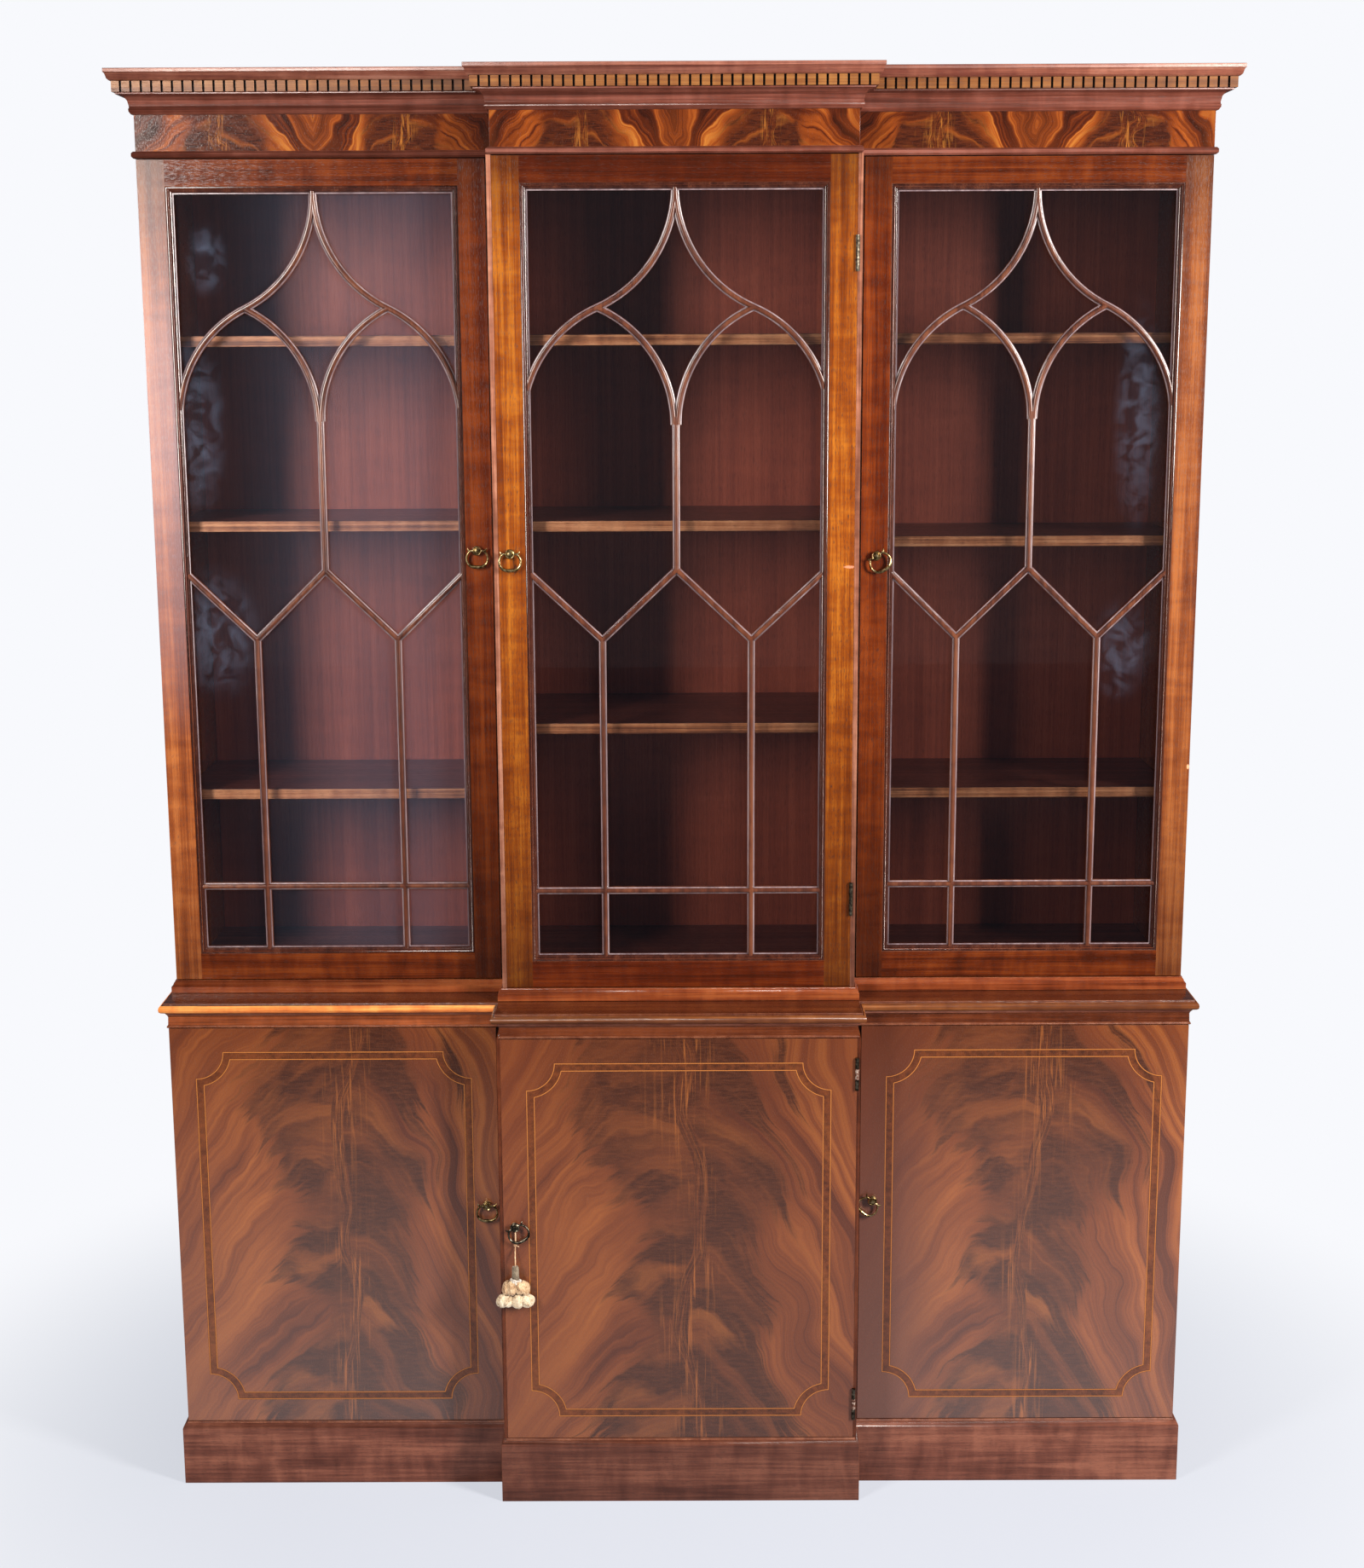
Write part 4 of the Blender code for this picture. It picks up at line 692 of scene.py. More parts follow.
def inlaid(tree, ground, x, z, place, inlay):
    # Two boxwood lines round a dark cross band with hollow corners, drawn by the distance to the outer line
    overs = []
    for value, middle, reach in ((x, inlay["shift"], inlay["halfWide"]),
                                 (z, inlay["mid"], inlay["halfHigh"])):
        away = add(tree, "ShaderNodeMath", {0: value, 1: middle}, operation="SUBTRACT")
        away = add(tree, "ShaderNodeMath", {0: away}, operation="ABSOLUTE")
        overs.append(add(tree, "ShaderNodeMath", {0: away, 1: reach}, operation="SUBTRACT"))
    corner = add(tree, "ShaderNodeCombineXYZ", {0: overs[0], 1: overs[1]})
    corner = add(tree, "ShaderNodeVectorMath", {0: corner}, out="Value", operation="LENGTH")
    hollow = add(tree, "ShaderNodeMath", {0: inlay["corner"], 1: corner}, operation="SUBTRACT")
    straight = add(tree, "ShaderNodeMath", {0: overs[0], 1: overs[1]}, operation="MAXIMUM")
    depth = add(tree, "ShaderNodeMath", {0: straight, 1: hollow}, operation="MAXIMUM")
    grain = stretched(tree, place, "X", *inlay["bandGrain"], 3.3, 4)
    bandStops = list(zip(inlay["bandRange"], (inlay["bandDark"], inlay["bandLight"])))
    band = add(tree, "ShaderNodeValToRGB", {0: grain}, stops=bandStops)
    within = add(tree, "ShaderNodeMath", {0: depth, 1: -inlay["band"] / 2, 2: inlay["band"] / 2},
                 operation="COMPARE")
    within = add(tree, "ShaderNodeMath", {0: within, 1: inlay["bandDeep"]}, operation="MULTIPLY")
    colour = add(tree, "ShaderNodeMix", {0: within, 6: ground, 7: band}, out=2, data_type="RGBA")
    for line in (0.0, -inlay["band"]):
        off = add(tree, "ShaderNodeMath", {0: depth, 1: line}, operation="SUBTRACT")
        off = add(tree, "ShaderNodeMath", {0: off}, operation="ABSOLUTE")
        seam = add(tree, "ShaderNodeMapRange", {0: off, 1: inlay["line"], 2: inlay["line"] + inlay["seam"],
                                                3: inlay["seamDeep"], 4: 0.0})
        colour = add(tree, "ShaderNodeMix", {0: seam, 6: colour, 7: inlay["bandDark"]}, out=2,
                     data_type="RGBA")
        half = inlay["line"] / 2
        share = add(tree, "ShaderNodeMapRange", {0: off, 1: half, 2: half + inlay["soft"], 3: 1.0, 4: 0.0})
        colour = add(tree, "ShaderNodeMix", {0: share, 6: colour, 7: inlay["tone"]}, out=2, data_type="RGBA")
    return colour


# Crotch mahogany: what a leaf below doesn't name is as here; grain in millimetres, the rest metres and shares
crotch = {"spineHalf": 0.010, "pull": 0.0007, "paintedShadeReach": ((0.55, 1.0), (-0.06, -0.22)), "rimDeep": 0.5,
          "tongues": (0.35, 0.2), "cloudLong": 2.2, "cloudRange": (0.44, 0.60), "cloudFaint": 0.50,
          "ripple": (22, 3.0), "rippleRange": (0.40, 0.66), "strandRange": (0.54, 0.66), "strandDeep": 0.75,
          "pore": (4, 0.9), "poreRange": (0.55, 0.7), "poreDeep": 0.16, "floorSheenTone": "#a39c9f",
          "rough": 0.22, "coat": 0.3, "bump": 0.08}


def veneerLook(leaf):
    # Crotch mahogany, French polished: a dark plume up the leaf and feathered arcs that fall away from it
    leaf = {**crotch, **leaf}
    look, tree, place = newLook(leaf["name"])
    parts = add(tree, "ShaderNodeSeparateXYZ", {0: place}).node.outputs
    x = add(tree, "ShaderNodeMath", {0: parts["X"], 1: leaf["middle"]}, operation="SUBTRACT")
    across = x
    if "mirrored" in leaf:
        # Leaves in pairs, opened like a book about the middle of each bay
        side = add(tree, "ShaderNodeMath", {0: x}, operation="ABSOLUTE")
        wing = add(tree, "ShaderNodeMath", {0: side, 1: leaf["mirrored"]["bay"]}, operation="GREATER_THAN")
        middle = add(tree, "ShaderNodeMath", {0: wing, 1: leaf["mirrored"]["wing"]}, operation="MULTIPLY")
        fold = add(tree, "ShaderNodeMath", {0: side, 1: middle}, operation="SUBTRACT")
        fold = add(tree, "ShaderNodeMath", {0: fold}, operation="ABSOLUTE")
        across = add(tree, "ShaderNodeMath", {0: fold, 1: leaf["mirrored"]["leaf"]}, operation="SUBTRACT")
    tall = add(tree, "ShaderNodeMapRange", {0: parts["Z"], 1: leaf["low"], 2: leaf["low"] + leaf["height"]})
    bent = stretched(tree, place, "Z", leaf["bend"], leaf["bend"], leaf["seed"], 2)
    sway = add(tree, "ShaderNodeMapRange", {0: bent, 3: -leaf["lean"] - leaf["spine"],
                                            4: leaf["lean"] - leaf["spine"]})
    offset = add(tree, "ShaderNodeMath", {0: across, 1: sway}, operation="ADD")
    far = add(tree, "ShaderNodeMath", {0: offset}, operation="ABSOLUTE")
    right = add(tree, "ShaderNodeMapRange", {0: offset, 1: -leaf["spineHalf"], 2: leaf["spineHalf"]})
    fall = add(tree, "ShaderNodeMapRange", {0: right, 3: leaf["falls"][0], 4: leaf["falls"][1]})
    bow = add(tree, "ShaderNodeMath", {0: far, 1: 2.0}, operation="POWER")
    arc = add(tree, "ShaderNodeMath", {0: bow, 1: fall, 2: parts["Z"]}, operation="MULTIPLY_ADD")
    drift = stretched(tree, place, "Z", leaf["drift"], leaf["drift"], leaf["seed"] + 5, 3)
    arc = add(tree, "ShaderNodeMath", {0: drift, 1: leaf["drift"] * leaf["pull"], 2: arc},
              operation="MULTIPLY_ADD")
    flow = add(tree, "ShaderNodeCombineXYZ", {0: arc, 1: far, 2: right})
    layers = []
    for scale, detail, twist in leaf["layers"]:
        start = (leaf["seed"], 0, leaf["seed"])
        spot = add(tree, "ShaderNodeMapping", {"Vector": flow, "Scale": scale, "Location": start})
        layers.append(add(tree, "ShaderNodeTexNoise", {"Vector": spot, "Scale": 1.0, "Detail": detail,
                                                       "Roughness": noise["rough"], "Distortion": twist}))
    broad, middling, fine = layers
    figure = add(tree, "ShaderNodeMix", {0: leaf["shares"][0], 2: broad, 3: middling})
    figure = add(tree, "ShaderNodeMix", {0: leaf["shares"][1], 2: figure, 3: fine})
    tones = [leaf[word] for word in ("deep", "brown", "orange", "bright")]
    colour = add(tree, "ShaderNodeValToRGB", {0: figure}, stops=list(zip(leaf["stops"], tones)))
    if "shade" in leaf:
        colour = add(tree, "ShaderNodeMix", {0: leaf["shade"], 6: colour, 7: leaf["deep"]}, out=2,
                     data_type="RGBA")
    if "paintedShade" in leaf:
        # Painted shade toward the head of the leaf, under the ledge, and on one side, beside the projecting
        # middle
        for value, (low, high), deep in zip((tall, x), leaf["paintedShadeReach"], leaf["paintedShade"]):
            share = add(tree, "ShaderNodeMapRange", {0: value, 1: low, 2: high, 3: 0.0, 4: deep},
                        interpolation_type="SMOOTHSTEP")
            colour = add(tree, "ShaderNodeMix", {0: share, 6: colour, 7: leaf["deep"]}, out=2,
                         data_type="RGBA")
    # The leaf darkens to its edges
    low, high = leaf["rim"]
    rim = add(tree, "ShaderNodeMapRange", {0: far, 1: low, 2: high, 3: 0.0, 4: leaf["rimDeep"]},
              interpolation_type="SMOOTHSTEP")
    colour = add(tree, "ShaderNodeMix", {0: rim, 6: colour, 7: leaf["rimTone"]}, out=2, data_type="RGBA")
    # The plume swells and narrows up the leaf, and its edge is torn into soft tongues along the arcs
    widths = [add(tree, "ShaderNodeValToRGB", {0: tall}, stops=leaf[word])
              for word in ("plumeLeft", "plumeRight")]
    reach = add(tree, "ShaderNodeMix", {0: right, 2: widths[0], 3: widths[1]})
    edge = add(tree, "ShaderNodeMath", {0: reach, 1: leaf["plume"], 2: -leaf["torn"] / 2},
               operation="MULTIPLY_ADD")
    edge = add(tree, "ShaderNodeMath", {0: edge, 1: far}, operation="SUBTRACT")
    torn = add(tree, "ShaderNodeMix", {0: leaf["tongues"][0], 2: broad, 3: middling})
    torn = add(tree, "ShaderNodeMix", {0: leaf["tongues"][1], 2: torn, 3: fine})
    edge = add(tree, "ShaderNodeMath", {0: torn, 1: leaf["torn"], 2: edge}, operation="MULTIPLY_ADD")
    inside = add(tree, "ShaderNodeMapRange", {0: edge, 1: -leaf["soft"], 2: leaf["soft"]},
                 interpolation_type="SMOOTHSTEP")
    clouds = stretched(tree, flow, "Y", leaf["cloud"] * leaf["cloudLong"], leaf["cloud"], leaf["seed"] + 4, 4,
                       0.5)
    low, high = leaf["cloudRange"]
    depth = add(tree, "ShaderNodeMapRange", {0: clouds, 1: low, 2: high, 3: 1.0, 4: leaf["cloudFaint"]})
    shade = add(tree, "ShaderNodeMath", {0: inside, 1: depth}, operation="MULTIPLY")
    ripple = stretched(tree, place, "X", *leaf["ripple"], leaf["seed"] + 8, 4, 1.2)
    plumeStops = list(zip(leaf["rippleRange"], (leaf["plumeDark"], leaf["plumeBrown"])))
    plume = add(tree, "ShaderNodeValToRGB", {0: ripple}, stops=plumeStops)
    colour = add(tree, "ShaderNodeMix", {0: shade, 6: colour, 7: plume}, out=2, data_type="RGBA")
    # Bright upright strands along the spine
    threads = stretched(tree, place, "Z", *leaf["strand"], leaf["seed"] + 9, 3, 0.9)
    low, high = leaf["strandRange"]
    threads = add(tree, "ShaderNodeMapRange", {0: threads, 1: low, 2: high})
    nearSpine = add(tree, "ShaderNodeMapRange", {0: far, 1: 0.0, 2: leaf["strandReach"],
                                                 3: leaf["strandDeep"], 4: 0.0})
    lively = add(tree, "ShaderNodeValToRGB", {0: tall}, stops=leaf["lively"])
    threads = add(tree, "ShaderNodeMath", {0: threads, 1: nearSpine}, operation="MULTIPLY")
    threads = add(tree, "ShaderNodeMath", {0: threads, 1: lively}, operation="MULTIPLY")
    colour = add(tree, "ShaderNodeMix", {0: threads, 6: colour, 7: leaf["bright"]}, out=2, data_type="RGBA")
    ticks = stretched(tree, place, "Z", *leaf["pore"], leaf["seed"] + 2, 2)
    pores = add(tree, "ShaderNodeValToRGB", {0: ticks}, stops=list(zip(leaf["poreRange"], (0.0, 1.0))))
    faint = add(tree, "ShaderNodeMath", {0: pores, 1: leaf["poreDeep"]}, operation="MULTIPLY")
    colour = add(tree, "ShaderNodeMix", {0: faint, 6: colour, 7: leaf["plumeDark"]}, out=2, data_type="RGBA")
    if "floorSheen" in leaf:
        # A painted grey sheen toward the foot, standing in for the floor mirrored in the polish
        dull = add(tree, "ShaderNodeMapRange", {0: tall, 3: leaf["floorSheen"], 4: 0.0})
        colour = add(tree, "ShaderNodeMix", {0: dull, 6: colour, 7: leaf["floorSheenTone"]}, out=2,
                     data_type="RGBA")
    if "inlay" in leaf:
        colour = inlaid(tree, colour, x, parts["Z"], place, leaf["inlay"])
    return close(look, polished(tree, colour, pores, leaf["rough"], leaf["coat"], leaf["bump"]))


# Flame veneer of the cupboard doors: one flitch, so the three leaves share their figure
doorLeaf = {"low": 0.102, "height": 0.638, "seed": 2.6, "spine": 0.022, "lean": 0.10, "bend": 330,
            "drift": 110, "falls": (3.0, 9.0),
            "layers": [((10.0, 2.4, 4.0), 2.5, 0.3), ((42.0, 3.2, 4.0), 3.0, 0.2),
                       ((190.0, 5.0, 5.0), 3.0, 0.0)],
            "shares": (0.30, 0.20), "stops": (0.37, 0.46, 0.53, 0.65),
            "deep": "#492214", "brown": "#6b361a", "orange": "#824620", "bright": "#9d5b28",
            "rim": (0.16, 0.29), "rimTone": "#633018", "plumeDark": "#371a0f", "plumeBrown": "#4a2616",
            "plume": 0.25, "torn": 0.46, "soft": 0.017, "cloud": 60, "strand": (120, 5.0),
            "strandReach": 0.045,
            "plumeLeft": [(0.0, 0.58), (0.12, 0.60), (0.26, 0.30), (0.40, 0.44), (0.52, 0.32), (0.68, 0.44),
                          (0.82, 0.68), (1.0, 0.52)],
            "plumeRight": [(0.0, 0.56), (0.10, 0.60), (0.22, 0.40), (0.36, 0.52), (0.50, 0.46), (0.62, 0.56),
                           (0.76, 0.48), (0.88, 0.54), (1.0, 0.32)],
            "lively": [(0.0, 0.9), (0.25, 0.8), (0.42, 1.0), (0.52, 0.15), (0.66, 0.35), (0.80, 0.9),
                       (1.0, 0.6)]}
# Boxwood stringing round a dark cross band
doorInlay = {"mid": 0.42, "halfHigh": 0.282, "corner": 0.042, "band": 0.0112, "line": 0.0009,
             "soft": 0.0003, "seam": 0.0006, "seamDeep": 0.55, "tone": "#a3642f", "bandDark": "#3a1b0c",
             "bandLight": "#643216", "bandGrain": (9, 7), "bandRange": (0.35, 0.65), "bandDeep": 0.6}
leaves = {"left": {"middle": -0.5221, "shift": -0.0002, "halfWide": 0.20825, "shade": 0.0, "floorSheen": 0.13,
                   "paintedShade": (0.30, 0.0)},
          "centre": {"middle": 0.0, "shift": 0.0, "halfWide": 0.2265, "shade": 0.24, "floorSheen": 0.05,
                     "paintedShade": (0.45, 0.0)},
          "right": {"middle": 0.5221, "shift": 0.0002, "halfWide": 0.20825, "shade": 0.0, "floorSheen": 0.12,
                    "paintedShade": (0.40, 0.90)}}
for bay, leaf in leaves.items():
    inlay = {**doorInlay, "shift": leaf["shift"], "halfWide": leaf["halfWide"]}
    looks["veneer_" + bay] = veneerLook({**doorLeaf, **leaf, "name": "flame_mahogany_" + bay, "inlay": inlay})
# The same veneer in small leaves along the frieze
friezeLeaf = {"name": "flame_mahogany_frieze", "middle": 0.0, "low": 2.0198, "height": 0.0505, "seed": 5.2,
              "mirrored": {"bay": 0.259, "wing": 0.5125, "leaf": 0.135}, "spine": 0.0, "lean": 0.05,
              "bend": 90, "drift": 40, "falls": (9.5, 6.0),
              "layers": [((26.0, 6.0, 4.0), 2.5, 0.4), ((80.0, 9.0, 4.0), 3.0, 0.2),
                         ((260.0, 12.0, 5.0), 3.0, 0.0)],
              "shares": (0.30, 0.15), "stops": (0.40, 0.47, 0.54, 0.63), "coat": 0.05, "rough": 0.15,
              "deep": "#260c05", "brown": "#471a08", "orange": "#7c3a12", "bright": "#a96a2b",
              "rim": (0.09, 0.15), "rimTone": "#632d0f", "plumeDark": "#2f1209", "plumeBrown": "#481f0e",
              "plume": 0.10, "torn": 0.16, "soft": 0.010, "cloud": 26, "strand": (40, 3.6),
              "strandReach": 0.02, "plumeLeft": [(0.0, 0.62), (1.0, 0.44)],
              "plumeRight": [(0.0, 0.55), (1.0, 0.35)],
              "lively": [(0.0, 1.0), (1.0, 0.7)]}
looks["frieze"] = veneerLook(friezeLeaf)
print("stage: veneers")


def finishedCopy(node):
    # A copy of a solid with its triangles merged into whole faces
    piece = bpy.data.objects.new(node + "_finished", nodes[node].data.copy())
    bpy.context.scene.collection.objects.link(piece)
    pick(piece)
    bpy.ops.object.mode_set(mode="EDIT")
    bpy.ops.mesh.select_all(action="SELECT")
    bpy.ops.mesh.remove_doubles(threshold=bench["weld"])
    bpy.ops.mesh.dissolve_limited(angle_limit=math.radians(bench["level"]))
    bpy.ops.object.mode_set(mode="OBJECT")
    return piece


def faced(piece, chooser, choices):
    # Gives each face its wood: chooser names it from the face's middle and normal
    piece.data.materials.clear()
    for word in choices:
        piece.data.materials.append(looks[word])
    for face in piece.data.polygons:
        face.material_index = choices.index(chooser(face.center, face.normal))


def filleted(piece, ledge, wood):
    # Fillets at one depth, painted grey as a sheen, told apart from the wood by it
    faced(piece, lambda spot, normal: "fillet" if abs(spot.y - ledge) < bench["near"] else wood,
          [wood, "fillet"])


def cutAlong(piece, place, normal, clear=False):
    # Splits the faces along a plane; with clear, what lies beyond it goes
    pick(piece)
    bpy.ops.object.mode_set(mode="EDIT")
    bpy.ops.mesh.select_all(action="SELECT")
    bpy.ops.mesh.bisect(plane_co=place, plane_no=normal, threshold=bench["weld"], use_fill=clear,
                        clear_outer=clear)
    bpy.ops.object.mode_set(mode="OBJECT")


def easeEdges(piece, width, wood):
    # Long sharp edges, eased as dusting wears them; the eased strip takes the paler look of rubbed polish
    # with a painted highlight
    piece.data.materials.append(looks[wood])
    pick(piece)
    bpy.ops.object.mode_set(mode="EDIT")
    bpy.ops.mesh.select_mode(type="EDGE")
    bpy.ops.mesh.select_all(action="DESELECT")
    bpy.ops.mesh.edges_select_sharp(sharpness=math.radians(bench["sharp"]))
    bpy.ops.object.mode_set(mode="OBJECT")
    mesh = piece.data
    for edge in mesh.edges:
        one, other = [mesh.vertices[place].co for place in edge.vertices]
        if (one - other).length < bench["long"]:
            edge.select = False
    bpy.ops.object.mode_set(mode="EDIT")
    bpy.ops.mesh.bevel(offset=width, segments=2, affect="EDGES", clamp_overlap=True,
                       material=len(mesh.materials) - 1)
    bpy.ops.object.mode_set(mode="OBJECT")


def smoothed(piece, angle):
    # Rounds the narrow facets of mouldings in the shading and keeps broad faces flat
    pick(piece)
    bpy.ops.object.shade_smooth_by_angle(angle=math.radians(angle))
    mesh = piece.data
    for face in mesh.polygons:
        points = [mesh.vertices[place].co for place in face.vertices]
        spans = sorted(max(p[axis] for p in points) - min(p[axis] for p in points) for axis in range(3))
        if spans[1] > bench["narrow"]:
            face.use_smooth = False


def dress(node, body, chooser, choices, eased=0, smooth=0, edge="arris", cuts=()):
    # A finished copy of a solid: cut where woods meet, given its woods, eased, rounded and put on its body
    piece = finishedCopy(node)
    for out in cuts:
        cutAlong(piece, (out, 0, 0), (1, 0, 0))
    faced(piece, chooser, choices)
    if eased:
        easeEdges(piece, eased, edge)
    if smooth:
        smoothed(piece, smooth)
    fit(piece, body, None, [node])


# Brass: the stain's grain in millimetres, and how much duller and brighter than its own gloss it gets
cast = {"stain": 4, "spread": (0.36, 0.5, 0.66), "dull": 0.15, "bright": 0.05, "bump": 0.25,
        "relief": 0.0003}


def brassLook(name, tones, rough, metal):
    # Cast brass, stained brown and rubbed bright in patches
    look, tree, place = newLook(name)
    stain = stretched(tree, place, "Z", cast["stain"], cast["stain"], 1.2, 4)
    colour = add(tree, "ShaderNodeValToRGB", {0: stain}, stops=list(zip(cast["spread"], tones)))
    roughness = add(tree, "ShaderNodeMapRange", {0: stain, 3: rough + cast["dull"],
                                                 4: rough - cast["bright"]})
    normal = add(tree, "ShaderNodeBump", {"Strength": cast["bump"], "Distance": cast["relief"],
                                          "Height": stain})
    return close(look, add(tree, "ShaderNodeBsdfPrincipled", {"Base Color": colour, "Metallic": metal,
                                                              "Roughness": roughness, "Normal": normal}))


# Keys and their bails, rubbed pale
looks["brass"] = brassLook("antique_brass", ("#40331f", "#937e54", "#d0bd92"), 0.28, 1.0)
# Hinges of the upper doors and all the hinge halves on the case, bolts and the key with the tassel, gone grey
looks["dullBrass"] = brassLook("dark_antique_brass", ("#2b2520", "#5c5448", "#a09682"), 0.28, 1.0)
# Hinge halves on the cupboard doors, still under brown lacquer
looks["brownBrass"] = brassLook("lacquered_brown_brass", ("#3f2318", "#62392a", "#b9a79a"), 0.4, 0.3)

# Doors of the upper case: stiles with upright grain over rails with level grain, joined by a line
frameSizes = {"stile": 0.039, "bottom": 0.0395, "top": 0.037, "eased": 0.0005, "smooth": 28, "outer": 0.7}
for bay in bays:
    left, right, face = doorEdges("upper", bay)
    inLeft, inRight = left + frameSizes["stile"], right - frameSizes["stile"]
    stileWood = "centreStile" if bay == "centre" else "wingStile"
    railWood = "centreRail" if bay == "centre" else "rail"
    brassFrom, brassBefore = sizes["upper"]["half"] + bench["proud"], face - bench["proud"]

    def frameWood(spot, normal):
        if abs(spot.x) > brassFrom or (bay == "centre" and spot.y < brassBefore):
            return "dullBrass"
        if bay != "centre" and abs(spot.x) > frameSizes["outer"]:
            return "glareOuterStile" if bay == "left" else "sheenOuterStile"
        return railWood if inLeft < spot.x < inRight else stileWood
    dress("door_frame_" + bay, "upper_%s_door" % bay, frameWood,
          [stileWood, railWood, "sheenOuterStile", "glareOuterStile", "dullBrass"], frameSizes["eased"],
          frameSizes["smooth"], cuts=(inLeft, inRight))

# Sight moulding, finer than the solid's and a hair in front of it: a bead, a quirk and an ovolo. Its
# outline is in shares of its width and depth; the fillet's share says how deep the fillet, painted grey as a
# sheen, lies
sight = {"width": 0.0105, "depth": 0.012, "proud": 0.0001, "fillet": 0.584, "smooth": 38,
         "start": [(0.0, 0.5), (0.0, 0.10), (0.03, 0.13)],
         "bead": {"middle": (0.20, 0.13), "reach": (0.17, 0.115), "steps": 8},
         "quirk": [(0.37, 0.13), (0.42, 0.20)],
         "ovolo": {"middle": (0.43, 0.60), "reach": (0.41, 0.345), "steps": 7},
         "end": [(0.85, 0.595), (1.006, 0.59), (1.006, 0.98), (0.5, 0.98)]}
sightShares = list(sight["start"])
(out, deep), (wide, high), count = sight["bead"].values()
for step in range(1, count):
    turn = math.pi * step / count
    sightShares.append((out - wide * math.cos(turn), deep - high * math.sin(turn)))
sightShares += sight["quirk"]
(out, deep), (wide, high), count = sight["ovolo"].values()
for step in range(count + 1):
    turn = math.pi * step / count / 2
    sightShares.append((out + wide * math.sin(turn), deep - high * math.cos(turn)))
sightShares += sight["end"]
for bay in bays:
    left, right, face = doorEdges("upper", bay)
    edges = [(left + frameSizes["stile"], 1), (right - frameSizes["stile"], -1)]
    levels = [(sizes["upper"]["doorLow"] + frameSizes["bottom"], 1),
              (sizes["upper"]["doorHigh"] - frameSizes["top"], -1)]
    rings = []
    for (x, stepX), (z, stepZ) in ((edges[0], levels[0]), (edges[1], levels[0]), (edges[1], levels[1]),
                                   (edges[0], levels[1])):
        rings.append([(x + stepX * out * sight["width"], face - sight["proud"] + deep * sight["depth"],
                       z + stepZ * out * sight["width"]) for out, deep in sightShares])
    piece = tidyShell(shell("sight_moulding_" + bay, rings, looped=True), sight["smooth"])
    filleted(piece, face + sight["fillet"] * sight["depth"], "sight")
    fit(piece, "upper_%s_door" % bay, None)

# Glazing bars: an ogee over two pointed arches, a middle bar, a zigzag and a grid, each with a bead along it
bars = {"half": 0.0055, "setback": 0.0035, "depth": 0.0085, "steps": 24, "lean": 12, "arch": 0.94,
        "under": 0.55, "fillet": 0.455, "smooth": 38,
        "profile": [(-1, 1), (-1, 0.54), (-0.92, 0.48), (-0.62, 0.43), (-0.57, 0.33), (-0.53, 0.18),
                    (-0.42, 0.06), (-0.24, 0.01), (0, 0)],
        "wing": {"apex": 0.0432, "tip": 0.2077, "tipOut": 0.1033, "veeTop": 0.6215, "veeLow": 0.5195,
                 "veeOut": 0.1045, "cross": 0.1435},
        "centre": {"apex": 0.0397, "tip": 0.2087, "tipOut": 0.1115, "veeTop": 0.6260, "veeLow": 0.5235,
                   "veeOut": 0.1087, "cross": 0.1470}}
barOutline = bars["profile"] + [(-out, deep) for out, deep in reversed(bars["profile"][:-1])]


def archPath(middle, sign, side, high, bar):
    # From the tip of an arch down to its foot; side 1 falls to the stile, -1 to the middle bar
    turn = 2 * math.atan2(bar["tipOut"], bar["tip"] - bar["apex"])
    lean = math.radians(bars["lean"])
    radius = bar["tipOut"] * bars["arch"] / (math.cos(lean) - math.cos(turn))
    points = []
    for step in range(bars["steps"] + 1):
        angle = turn * (1 - step / bars["steps"])
        out = bar["tipOut"] + side * radius * (math.cos(angle) - math.cos(turn))
        drop = bar["tip"] + radius * (math.sin(turn) - math.sin(angle))
        points.append(Vector((middle + sign * out, high - drop)))
    return points


def ogeePath(middle, sign, high, bar):
    # From the apex round the hollow upper arc, then smoothly into the round arc of the arch
    rise = bar["tip"] - bar["apex"]
    turn = 2 * math.atan2(bar["tipOut"], rise)
    hollow = rise / math.sin(turn)
    points = []
    for step in range(bars["steps"]):
        angle = turn * step / bars["steps"]
        points.append(Vector((middle + sign * hollow * (1 - math.cos(angle)),
                              high - bar["apex"] - hollow * math.sin(angle))))
    return points + archPath(middle, sign, 1, high, bar)


def glazingBar(path, face, window):
    # One bar along its path, mitred at each point and cut off under the sight moulding
    rings = []
    for here, point in enumerate(path):
        before = (point - path[here - 1]).normalized() if here > 0 else (path[1] - point).normalized()
        after = (path[here + 1] - point).normalized() if here < len(path) - 1 else before
        normal = Vector((-(before.y + after.y), before.x + after.x)).normalized()
        reach = bars["half"] / normal.dot(Vector((-before.y, before.x)))
        rings.append([(point.x + normal.x * out * reach, face + bars["setback"] + deep * bars["depth"],
                       point.y + normal.y * out * reach) for out, deep in barOutline])
    made = shell("glazing_bar", rings)
    left, right, low, high = window
    for place, normal in (((left, 0, 0), (-1, 0, 0)), ((right, 0, 0), (1, 0, 0)), ((0, 0, low), (0, 0, -1)),
                          ((0, 0, high), (0, 0, 1))):
        cutAlong(made, place, normal, clear=True)
    return tidyShell(made, bars["smooth"])


